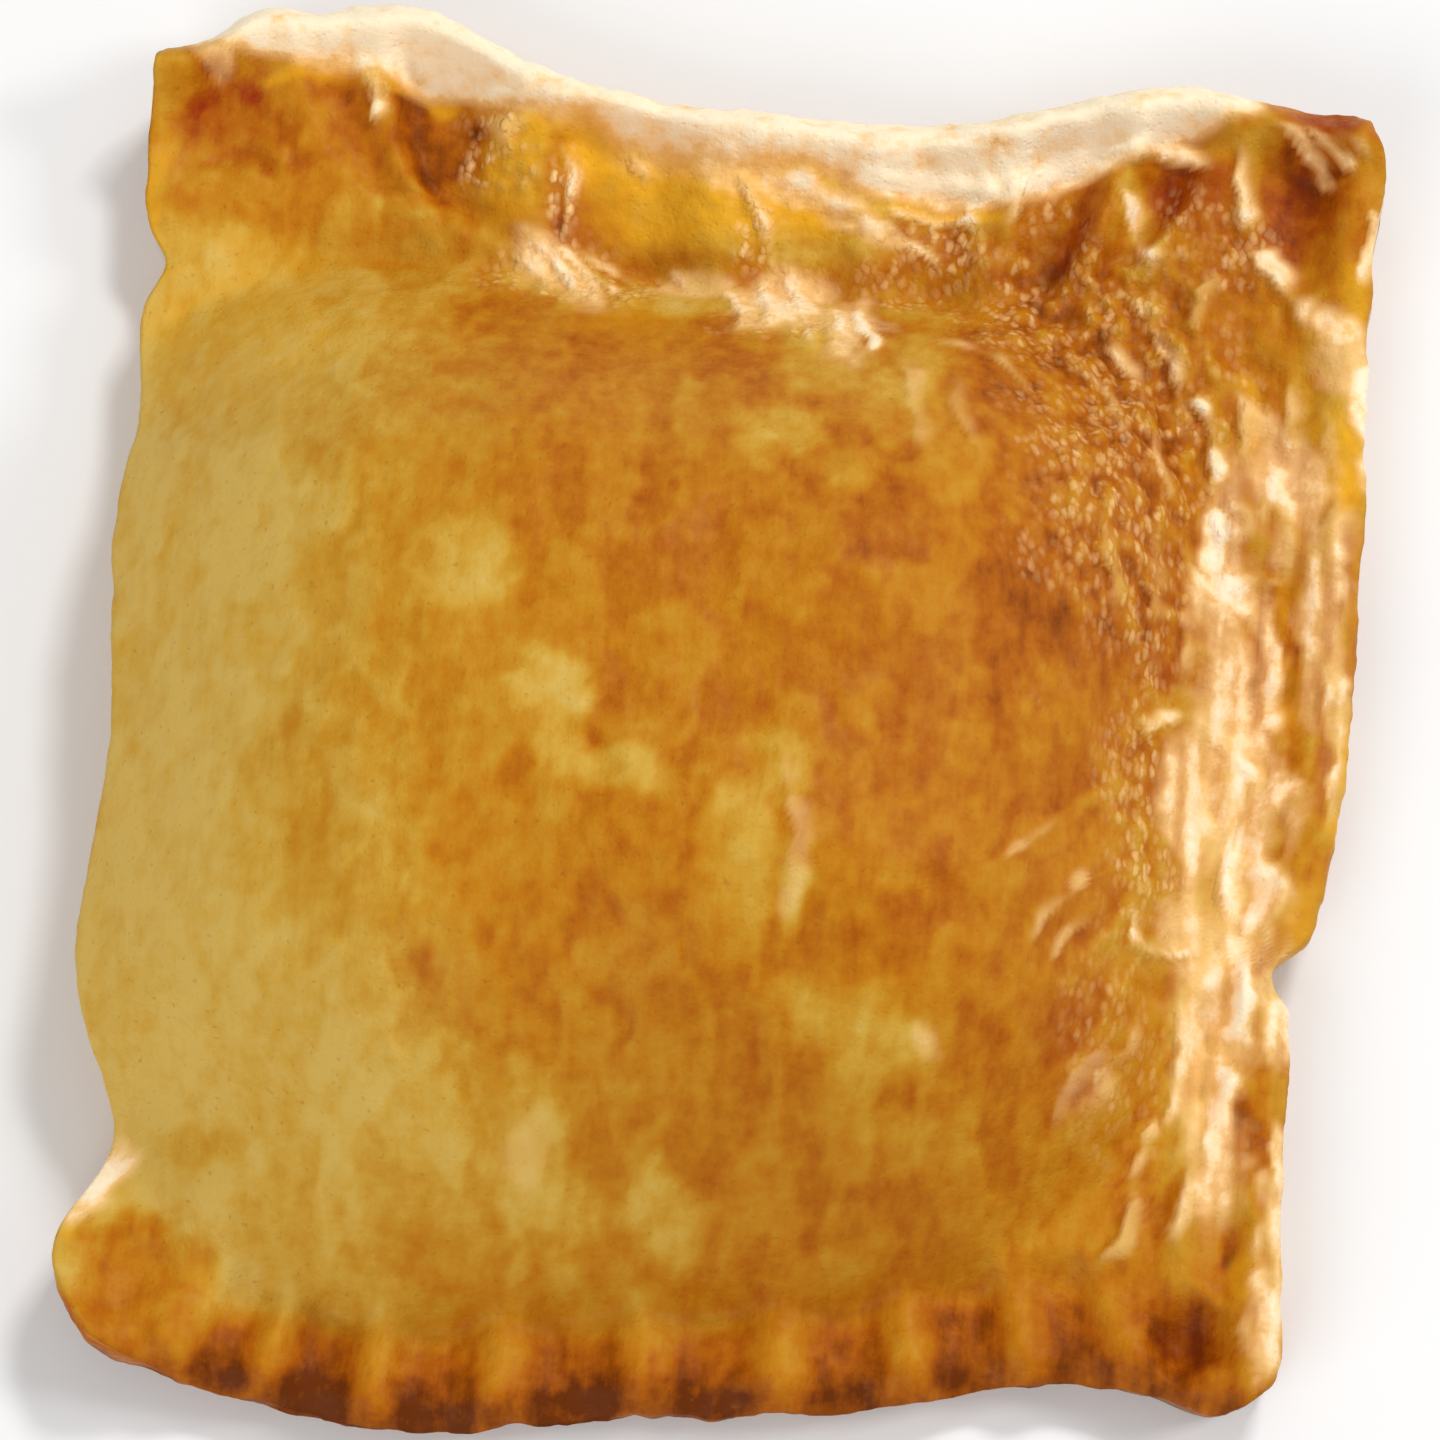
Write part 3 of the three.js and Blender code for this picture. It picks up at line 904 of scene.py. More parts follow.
RIM_PATCHES = rows_of(
    BakedPatch,
    (26.5, -5, 2.2, 8, 0, 0.95, 0.0),
    (26, -15, 1.7, 7, -4, 0.9, 0.1),
    (24, 1.5, 3, 2.5, -10, 0.7, 0.25),
    (26.5, 22, 3.6, 4, 0, 0.8, 0.58),
    (22, -11.5, 2, 2.5, -20, 0.6, 0.3),
    (23, -18, 2.5, 4, -20, 0.6, 0.42),
    (29.6, -12.3, 1.2, 2, 0, 0.9, 0.06),
    (28, -19.5, 0.9, 4, 0, 0.9, 0.72),
    (31, -6, 1, 5, 0, 0.9, 0.5),
    (32, 1, 0.8, 5, 0, 0.9, 0.25),
    (31, 17, 1.1, 2.4, 0, 0.85, 0.45),
    (29.5, 9.6, 0.9, 2.3, 0, 0.85, 0.55),
    (29, 12.6, 1.6, 1.3, 0, 0.6, 0.45),
    (28.6, 19.6, 1.6, 2.6, 0, 0.7, 0.48),
    (31, 21, 2, 4, 0, 0.7, 0.25),
    (28.4, -19.6, 0.8, 3.2, 0, 0.8, 0.68),
    (30.5, -4, 0.9, 5, 0, 0.8, 0.55),
    (32.4, 19, 0.7, 6, 0, 0.6, 0.3),
    (29.2, 7.5, 0.7, 2.5, 0, 0.8, 0.46),
    (29, 3, 0.8, 1.8, 0, 0.8, 0.44),
    (30.5, 6, 0.6, 4, 0, 0.7, 0.12),
    (27.9, -26.4, 0.9, 2.6, -15, 0.7, 0.7),
    (27, -31.6, 3, 1.8, 0, 0.8, 0.74),
    (17, -29.6, 7, 2, 0, 0.5, 0.64),
    (22.4, -28.6, 4.4, 3.2, 0, 0.8, 0.64),
    (26.8, -29.4, 3, 2.5, 0, 0.95, 0.82),
    (22, -21, 3, 6, 0, 0.5, 0.6),
    (-7, -29, 4.6, 2.2, 0, 0.6, 0.42),
    (-2.6, -30.6, 5, 1.8, 0, 0.6, 0.4),
    (28.7, -28.4, 1.6, 3, 0, 0.8, 0.68),
    (30, -31, 1.2, 3, 0, 0.6, 0.3),
    (-25.4, 28.2, 6.4, 2.8, 0, 0.8, 0.62),
    (-27.0, 33.0, 4.8, 3.2, 0, 0.9, 0.67),
    (-23.3, 32.6, 2.8, 3.2, 0, 0.9, 0.68),
    (-21.6, 30, 1.6, 2, 0, 0.7, 0.6),
    (-13, 31.2, 2.2, 3, 0, 0.85, 0.26),
    (-18.6, 31.4, 3.8, 4.2, 0, 0.95, 0.75),
    (-8, 32.2, 4, 1.3, -10, 0.85, 0.2),
    # Painted light: this row and the one at (-2, 29.8) lighten a back-rim recess that lies in shade
    (-6.2, 29.3, 3.4, 1.9, 0, 0.9, 0.3),
    (-3, 27.6, 5, 1.2, 0, 0.6, 0.32),
    (-2, 29.8, 2, 2.6, 0, 0.85, 0.24),
    (2.5, 30, 3.4, 2.4, 0, 0.9, 0.24),
    (9, 29.6, 4.5, 1.4, 0, 0.8, 0.24),
    (5.5, 28.4, 2.6, 2, 0, 0.6, 0.2),
    (9, 27.6, 3.5, 1.6, 0, 0.8, 0.5),
    (2.5, 27, 4, 1.6, 0, 0.8, 0.2),
    (-2, 23, 4, 1.6, 0, 0.8, 0.08),
    (9.5, 24.2, 4, 2.6, 0, 0.8, 0.4),
    (16.8, 28.5, 1.7, 2.8, 0, 0.95, 0.76),
    (20, 29.5, 1.4, 3, 20, 0.85, 0.18),
    (22.7, 31, 2.3, 2.4, 0, 0.9, 0.78),
    (22.3, 27.2, 2.6, 1.8, 0, 0.8, 0.5),
    (28.5, 31, 2.8, 3.8, 10, 0.9, 0.78),
    (30.2, 27, 1.8, 4, 0, 0.8, 0.58),
    (30.5, 35, 2.5, 2, 0, 0.8, 0.68),
    (26, 28.4, 1.4, 3.6, 28, 0.7, 0.68),
    (-27.6, -30.6, 4, 3.4, 0, 0.9, 0.6),
)
# Where it is creamy, amber, scorched or beaded: x, y, across, along, turn, amount; cream and some amber
# paint light
CREAM_AND_HIGHLIGHT_PATCHES = rows_of(
    Patch,
    # A painted highlight in the notch at the front left corner
    (-29.6, -25.6, 1.3, 2.2, -30, 1.0),
    (-31, -27.6, 1.2, 1.2, 0, 0.6),
    # Painted highlights on the back shoulder, where the lamps' glare falls
    (-9.9, 24.5, 4, 1.5, -40, 0.5),
    (-2.8, 24.4, 2.2, 1.1, 0, 0.35),
    (1.4, 23.2, 3, 2.4, 0, 0.62),
    (5.2, 21.4, 2, 3.4, 0, 0.55),
    # The right rim's band: pale dry flakes with painted highlight on the lit flank
    (27, -4.5, 3, 7.5, 0, 0.55),
    (26.6, -12, 2.6, 6, 4, 0.6),
    (26.4, -18, 1.5, 5.5, 0, 0.5),
    (26.4, 3, 2.4, 5, 0, 0.5),
    (26.4, 9.5, 2.2, 1.1, 0, 0.65),
    (25.2, 11.8, 0.8, 2.2, 0, 0.7),
    (25.4, 7.5, 1.8, 3, 0, 0.4),
    (27.4, 16.8, 1.5, 3, 15, 0.45),
    (29.3, 15.2, 1.1, 3, 20, 0.4),
    (32.9, 19.5, 1.1, 4, 0, 0.9),
    (31.2, 24.2, 1.2, 1.4, 0, 0.6),
    (29.8, -13, 1.3, 3.2, 0, 0.75),
    (29.8, -23, 1.1, 3, 0, 0.45),
    (29.9, -29, 0.9, 4, 0, 0.6),
    (11.7, -18.3, 0.7, 0.7, 0, 0.3),
    (4.7, -13, 0.6, 1, 0, 0.15),
    (-29.4, 35.2, 1.2, 0.9, 0, 0.45),
    (2, 30.6, 5, 1, -18, 0.5),
    (5.6, 28.2, 2.2, 1, -30, 0.5),
    (9.5, 31.4, 5, 1, 0, 0.8),
    (-1.8, 31, 1.2, 1.4, 0, 0.4),
    (31.4, 7, 1.2, 8, 0, 0.5),
    (28, 7, 0.9, 4, 0, 0.5),
    (29.2, 16.6, 1.4, 3.4, 20, 0.5),
    (31.6, 22.6, 1.4, 2, 0, 0.4),
    (26, 13, 1.6, 4, 0, 0.35),
    (29.6, 12.4, 1.4, 2, 0, 0.2),
    (27, -22.5, 1.6, 2.2, 0, 0.45),
    (24.8, -3, 2, 5, 0, 0.5),
    (24.6, -9, 1.6, 3, 0, 0.35),
    (-8.2, -24.6, 1, 1.6, 0, 0.12),
)
AMBER_PATCHES = rows_of(
    Patch,
    # Painted light in part: rows on the lip's inner slope and in back-rim recesses brighten places left in
    # shade
    (-6.5, 31, 4.6, 2.2, -14, 0.8),
    (-11.3, 32.8, 1.8, 0.7, -10, 0.65),
    (-2.6, 30.8, 2.6, 0.7, -20, 0.5),
    (9.6, 29.7, 4.2, 0.5, 0, 0.75),
    (-17.6, 34.2, 2, 0.7, -20, 0.55),
    (-24.8, 34.6, 2.6, 0.6, 0, 0.5),
    (-13, 28.5, 2, 1.5, 0, 0.3),
    (-12.8, 31.6, 2.2, 2.6, 0, 0.4),
    (-4.5, 28.4, 4.6, 1.8, 0, 0.65),
    (2.5, 29.6, 3.4, 2.4, 0, 0.7),
    (-1.2, 29.6, 2.8, 2.6, 0, 0.8),
    (-1, 31.8, 8, 1.2, -8, 0.75),
    (-20, 35, 6, 0.7, -6, 0.4),
    (-31.8, 27, 0.7, 5, 0, 0.4),
    (31.9, 26, 0.7, 3, 0, 0.5),
    (32.6, 0.5, 0.9, 3.6, 0, 0.75),
    (30.6, -7.5, 0.9, 3, -10, 0.35),
    (31.4, 17, 1.3, 2.6, 0, 0.7),
    (26.3, 20, 0.8, 3, 0, 0.4),
    (29.5, 9.4, 0.6, 1.6, 0, 0.3),
    (29.5, 4.4, 1.2, 2.2, 0, 0.25),
    (28.9, -26.4, 1, 2, 0, 0.4),
    (-31.2, -28.6, 0.8, 0.8, 0, 0.4),
    (-6, 21, 3, 3, 0, 0.2),
    (-26, 20, 6, 6, 0, 0.2),
)
SCORCH_PATCHES = rows_of(
    Patch,
    (-28.4, 32, 3, 2.4, 0, 0.25),
    (-27.3, 34.1, 0.9, 0.7, 20, 0.8),
    (-30.0, 33, 1.4, 0.6, 40, 0.6),
    (28.3, 31.5, 2.4, 3.4, 10, 0.3),
    (30, 35.5, 2.5, 1.6, 0, 0.5),
    (22.6, 31.2, 2.2, 1.8, 0, 0.45),
    (17, 28.6, 1.4, 2.4, 0, 0.35),
    (18.5, -17, 2, 3, -15, 0.15),
    (26.6, -30, 2, 1.8, 0, 0.2),
    (22.5, 3.5, 0.9, 1, 0, 0.5),
    (20.5, 19.5, 0.8, 1.2, 0, 0.4),
)
GRAIN_PATCHES = rows_of(
    Patch,
    (20.5, 14, 6.5, 13, 0, 0.5),
    (16, 24.5, 7, 4, 0, 0.5),
    (22, -3, 2.8, 8, 0, 0.5),
    (-14.2, 31.6, 2.2, 2.6, 0, 1.0),
    (-10, 28.8, 1, 3.2, 0, 0.9),
    (-20.8, 34.4, 0.9, 1.6, 15, 0.8),
    (-6.5, 31.2, 1.2, 1.4, 0, 0.8),
    (-0.4, 28.4, 1.3, 2.6, 0, 0.9),
    (9.5, 28, 4, 2.2, 0, 0.8),
    (14.5, 31, 1.2, 2.6, 0, 0.7),
    (8, 25.5, 3.5, 1.6, 0, 0.6),
    (-9.5, 24.5, 5, 2.2, 0, 0.6),
    (2, 23, 4, 3.5, 0, 0.55),
    (24, 29, 4, 3, 0, 0.45),
    (26.5, 18, 2, 4, 0, 0.45),
    (22, -14, 3, 8, 0, 0.3),
)
# Where it is wrinkled: start, end, bow, width, rise, cream, the painted highlight and pale flakes on its
# crest
BACK_WRINKLES = rows_of(
    Wrinkle,
    ((-21.9, 36.0), (-20.9, 32.4), 0.2, 0.5, 0.9, 0.75),
    ((-15.4, 34.2), (-13.4, 30.0), 0.5, 0.8, 0.8, 0.25),
    ((-10.6, 31.5), (-9.6, 26.2), 0.3, 0.35, 0.5, 0.5),
    ((-9.4, 33.0), (-6.2, 30.6), 0.3, 0.4, 0.5, 0.5),
    ((-1.2, 31.2), (0.2, 27.0), 0.3, 0.4, 0.6, 0.5),
    ((-1.6, 32.3), (6.3, 27.6), 0.5, 0.75, 0.7, 0.7),
    ((4.9, 30.5), (13.0, 30.3), 0.3, 0.35, 0.8, 0.9),
    ((5.6, 28.9), (12.6, 29.2), 0.2, 0.25, 0.5, 0.7),
    ((7.0, 27.9), (9.7, 26.7), 0.2, 0.25, 0.45, 0.6),
    ((10.4, 28.3), (12.6, 26.9), 0.2, 0.25, 0.4, 0.5),
    ((13.6, 28.6), (15.6, 32.6), 0.6, 0.45, 0.6, 0.5),
    ((14.9, 31.6), (18.9, 31.6), 1.0, 0.5, 0.7, 0.5),
    ((18.5, 31.8), (21.3, 26.6), 0.3, 0.5, 1.0, 0.65),
    ((18.7, 32.4), (24.5, 32.2), 1.4, 0.55, 1.0, 0.55),
    ((24.9, 34.0), (25.7, 29.0), 0.2, 0.45, 0.9, 0.5),
    ((25.4, 29.6), (29.7, 23.0), 0.5, 0.65, 1.0, 0.65),
    ((26.6, 35.0), (30.2, 31.4), 0.5, 0.26, 0.6, 0.42),
    ((27.7, 35.2), (31.2, 32.1), 0.4, 0.24, 0.5, 0.45),
    ((29.1, 35.0), (31.7, 33.2), 0.2, 0.22, 0.4, 0.3),
    ((31.8, 31.0), (31.6, 26.4), 0.2, 0.4, 0.6, 0.5),
    ((-27.0, 34.9), (-30.8, 32.6), -0.3, 0.35, 0.4, 0),
    ((-29.6, 30.4), (-25.6, 31.4), 0.3, 0.5, 0.3, 0),
    ((-20.4, 29.3), (-17.4, 28.6), 0.2, 0.35, 0.35, 0),
    ((-19.8, 27.6), (-16.6, 27.2), 0.2, 0.3, 0.3, 0),
)
SHOULDER_WRINKLES = rows_of(
    Wrinkle,
    ((19.2, 25.6), (22.6, 19.8), 0.5, 0.45, 0.7, 0.85),
    ((22.8, 20.4), (25.2, 14.4), 0.4, 0.4, 0.6, 0.7),
    ((18.6, 23.0), (21.0, 18.2), 0.4, 0.35, 0.6, 0.55),
    ((20.8, 18.6), (22.6, 13.0), 0.3, 0.3, 0.5, 0.4),
    ((17.4, 21.4), (20.0, 15.6), 0.4, 0.3, 0.45, 0.3),
    ((21.5, 12.6), (22.5, 3.0), 0.2, 0.4, 0.5, 0.1),
    ((18.9, 11.2), (20.0, 4.2), 0.2, 0.35, 0.4, 0.1),
    ((23.4, 10.6), (23.7, 2.6), 0.2, 0.4, 0.5, 0.2),
    ((24.8, 27.6), (23.0, 23.0), -0.4, 0.45, 0.6, 0.2),
    ((25.8, 21.0), (26.4, 15.4), 0.3, 0.45, 0.7, 0.4),
    ((25.4, 13.4), (25.6, 9.2), -0.3, 0.35, 0.5, 0.7),
    ((25.4, 9.4), (29.2, 10.2), 0.3, 0.35, 0.45, 0.65),
    ((21.3, 0.5), (24.8, 1.9), 0.3, 0.3, 0.5, 0.6),
    ((24.6, 2.0), (27.8, -1.9), 0.4, 0.35, 0.5, 0.7),
    ((9.0, 21.2), (16.0, 16.6), 1.0, 0.4, 0.4, 0.2),
)
RIGHT_WRINKLES = rows_of(
    Wrinkle,
    ((25.9, -0.4), (26.8, -11.4), 0.4, 0.5, 0.8, 0.7),
    ((27.5, -0.4), (28.7, -8.8), 0.5, 0.6, 0.8, 0.75),
    ((28.5, -5.8), (27.2, -12.8), 0.3, 0.5, 0.7, 0.7),
    ((27.3, -10.6), (26.3, -15.6), 0.2, 0.65, 0.8, 0.8),
    ((26.4, -14.6), (26.7, -21.4), 0.3, 0.5, 0.8, 0.9),
    ((25.2, -11.8), (24.5, -19.6), -0.3, 0.4, 0.6, 0.55),
    ((26.2, -20.8), (24.4, -25.4), 0.2, 0.45, 0.7, 0.5),
    ((22.8, -22.4), (21.2, -27.0), 0.2, 0.4, 0.5, 0.2),
    ((24.4, -17.4), (21.6, -25.6), -0.4, 0.4, 0.5, 0.35),
    ((22.8, -13.0), (19.6, -21.6), -0.5, 0.4, 0.5, 0.25),
    ((20.9, -15.6), (18.4, -22.0), -0.3, 0.35, 0.4, 0.2),
    ((21.8, -8.2), (21.9, -10.8), 0.1, 0.3, 0.4, 0.7),
    ((21.9, -10.7), (25.4, -9.9), -0.3, 0.25, 0.45, 0.7),
    ((16.2, -13.2), (20.1, -6.9), 0.2, 0.28, 0.35, 0.3),
    ((17.5, -13.6), (20.6, -9.2), 0.2, 0.25, 0.3, 0.3),
    ((15.2, -9.4), (18.2, -5.4), 0.2, 0.25, 0.25, 0.2),
    ((28.7, 7.6), (29.5, 1.2), -0.8, 0.4, 0.7, 0.6),
    ((29.2, 8.0), (30.6, 1.4), 1.1, 0.4, 0.7, 0.6),
    ((31.8, 10.0), (31.6, -4.0), 0.2, 0.35, 0.4, 0.5),
    ((29.6, -0.8), (29.0, -9.4), 0.3, 0.35, 0.6, 0.35),
    ((28.9, -11.6), (30.4, -15.0), 0.5, 0.6, 0.5, 0.75),
    ((28.6, 21.4), (28.5, 16.8), 0.3, 0.5, 0.6, 0.5),
    ((30.4, 20.4), (30.6, 12.0), 0.4, 0.4, 0.5, 0.4),
    ((27.2, 16.4), (27.4, 11.6), -0.3, 0.4, 0.5, 0.4),
    ((29.6, -17.0), (30.4, -31.0), 0.3, 0.5, 0.4, 0.5),
)
CROWN_WRINKLES = rows_of(
    Wrinkle,
    ((-13.6, 25.9), (-9.6, 22.0), 0.3, 0.28, 0.3, 0.5),
    ((-12.9, 26.9), (-8.0, 22.4), 0.4, 0.32, 0.35, 0.75),
    ((-11.4, 27.1), (-6.8, 22.8), 0.4, 0.26, 0.3, 0.6),
    ((-9.8, 26.9), (-6.2, 24.0), 0.2, 0.22, 0.25, 0.45),
    ((-4.6, 25.9), (-2.6, 24.4), 0.2, 0.25, 0.25, 0.5),
    ((-1.6, 25.4), (-0.7, 20.6), 0.3, 0.3, 0.3, 0.5),
    ((0.3, 25.4), (0.9, 21.6), 0.2, 0.28, 0.3, 0.65),
    ((1.9, 25.7), (3.2, 19.2), 0.3, 0.3, 0.35, 0.7),
    ((3.9, 25.2), (5.0, 20.2), 0.3, 0.3, 0.3, 0.8),
    ((5.3, 24.4), (6.9, 18.9), 0.3, 0.32, 0.35, 0.8),
    ((7.6, 20.4), (9.4, 11.6), 0.4, 0.5, 0.25, 0.2),
    ((10.4, 18.6), (12.0, 10.6), 0.4, 0.4, 0.25, 0.1),
    ((-25.0, 6.5), (-20.5, 8.5), 0.3, 0.5, 0.2, 0),
    ((-8.4, -2.4), (-3.6, -7.6), 0.5, 0.6, 0.2, 0),
    ((3.0, -4.6), (4.6, -13.4), 0.4, 0.5, 0.2, 0.15),
)


@dataclass(frozen=True)
class BakedRelief:
    """The fine relief that the solid leaves out: textures in patches, wrinkles, and ragged edges."""

    patches: tuple[ReliefPatch, ...] = (
        ReliefPatch(Patch(20.5, 16, 5.5, 11), Texture.PEBBLES, 1.5, 3.0, 20, 0.6, 21),
        ReliefPatch(Patch(20.5, 14, 6, 13), Texture.PEBBLES, 0.9, 1.5, 12, 0.42, 40),
        ReliefPatch(Patch(20.5, 13, 6.5, 14), Texture.PEBBLES, 0.65, 1.0, 8, 0.24, 47),
        ReliefPatch(Patch(20.5, 12, 6, 14), Texture.STREAKS, 1.6, 4.5, 14, 0.35, 22),
        ReliefPatch(Patch(16, 24.5, 6, 4), Texture.PEBBLES, 1.2, 1.6, 30, 0.5, 23),
        ReliefPatch(Patch(22, -2.5, 2.6, 6), Texture.PEBBLES, 1.0, 1.5, -10, 0.5, 24),
        ReliefPatch(Patch(20.5, -16, 5, 10), Texture.STREAKS, 1.5, 6, -24, 0.6, 25),
        ReliefPatch(Patch(22, -15, 5, 11), Texture.FLAKES, 2.2, 7, -22, 0.8, 41),
        ReliefPatch(Patch(26.5, -6, 2.5, 14), Texture.STREAKS, 1.3, 7, -3, 0.5, 26),
        ReliefPatch(Patch(29, -4, 3, 26), Texture.FLAKES, 1.8, 8, -3, 1.2, 42),
        ReliefPatch(Patch(28, -4, 4, 26), Texture.STREAKS, 0.8, 8, -2, 0.35, 48),
        ReliefPatch(Patch(28.5, 14, 3, 11), Texture.FLAKES, 1.9, 5.5, 5, 1.3, 43),
        ReliefPatch(Patch(27.5, 14, 3, 10), Texture.STREAKS, 1.4, 4, 8, 0.5, 27),
        ReliefPatch(Patch(18, 29, 11, 4), Texture.FLAKES, 2.4, 3.4, 30, 1.2, 44),
        ReliefPatch(Patch(-6, 30, 18, 3.4), Texture.FLAKES, 3.2, 2.6, 20, 0.9, 45),
        ReliefPatch(Patch(0, 34.5, 28, 2.4), Texture.FLAKES, 6, 1.6, -4, 1.1, 46),
        ReliefPatch(Patch(-9.5, 24.5, 5.5, 2.5), Texture.PEBBLES, 1.2, 1.5, 0, 0.35, 28),
        ReliefPatch(Patch(3, 22, 4.5, 4.5), Texture.PEBBLES, 1.3, 2, 0, 0.35, 29),
        ReliefPatch(Patch(-13, 30.5, 3.5, 3), Texture.PEBBLES, 1.0, 1.1, 0, 0.35, 30),
        ReliefPatch(Patch(5, 29.5, 10, 3.2), Texture.PEBBLES, 1.1, 0.9, 0, 0.3, 31),
        ReliefPatch(Patch(24, 30, 7, 4.5), Texture.STREAKS, 1.5, 4, 32, 0.5, 32),
        ReliefPatch(Patch(-27, 31, 4, 3), Texture.STREAKS, 1.3, 3, 60, 0.3, 33),
        ReliefPatch(Patch(0, 34, 30, 2), Texture.STREAKS, 1.2, 6, 88, 0.35, 34),
        ReliefPatch(Patch(-6, 0, 16, 24), Texture.STREAKS, 4.2, 9, 12, 0.12, 35),
        ReliefPatch(Patch(10, 12, 8, 12), Texture.STREAKS, 2.8, 8, 4, 0.15, 36),
        ReliefPatch(Patch(-6, -33.5, 26, 2.5), Texture.PEBBLES, 1.3, 1.3, 0, 0.22, 37),
    )
    wrinkles: tuple[Wrinkle, ...] = (*BACK_WRINKLES, *SHOULDER_WRINKLES, *RIGHT_WRINKLES, *CROWN_WRINKLES)
    islands: CrustyIslands = CrustyIslands()
    skin: float = 0.05
    swirl: Unevenness = Unevenness(0.12, 2.7, 3.6, seed=53, octaves=3)
    fine: Unevenness = Unevenness(0.04, 0.9, 1.1, seed=56, octaves=2)
    drift_across: Unevenness = Unevenness(0.5, 3.1, 3.1, seed=51)
    drift_along: Unevenness = Unevenness(0.5, 3.1, 3.1, seed=52)
    jitter: Unevenness = Unevenness(0.15, 0.9, 0.9, seed=57)
    creamy_crest: Pair = (0.25, 0.85)
    ragged: Unevenness = Unevenness(0.32, 2.1, 2.1, seed=61, octaves=4)
    ragged_lean: float = 0.3

    def lift(self, x: Array, y: Array) -> Array:
        """Gives the height that the relief adds to the solid's upper face.

        Args:
            x: places across the pie.
            y: places along it.

        Returns:
            Heights in millimetres.
        """
        drift_x, drift_y = self.drifted(x, y)
        total = self.swirl.at(x, y) + self.skin * self.islands.height(x, y) + self.fine.at(x, y)
        for patch in self.patches:
            total = total + patch.lift(drift_x, drift_y)
        for wrinkle in self.wrinkles:
            total = total + wrinkle.rise * wrinkle.crest(drift_x, drift_y)
        return total

    def cream(self, x: Array, y: Array) -> Array:
        """Gives how creamy the wrinkles' crests are: pale dry flakes and painted highlight.

        Args:
            x: places across the pie.
            y: places along it.

        Returns:
            Amounts from 0 to 1.
        """
        drift_x, drift_y = self.drifted(x, y)
        most = np.zeros_like(x)
        for wrinkle in self.wrinkles:
            crest = ease(wrinkle.crest(drift_x, drift_y), *self.creamy_crest)
            most = np.maximum(most, wrinkle.cream * crest)
        return most

    def drifted(self, x: Array, y: Array) -> tuple[Array, Array]:
        """Bends the plan a little, so that the relief wanders.

        Args:
            x: places across the pie.
            y: places along it.

        Returns:
            The bent places.
        """
        return x + self.drift_across.at(x, y) + self.jitter.at(x, y), y + self.drift_along.at(x, y)

    def ragged_edge(self, x: Array, y: Array) -> Array:
        """Gives how far the outline stands out or in by chance, in millimetres."""
        return self.ragged.at(x + self.ragged_lean * y, y - self.ragged_lean * x)


@dataclass(frozen=True)
class FootBakeAndShade:
    """How dark the front edge is, by baking and painted shade, and how far in that reaches, on the ridges
    and in the fork marks.
    """

    level: Pair
    reach: Pair


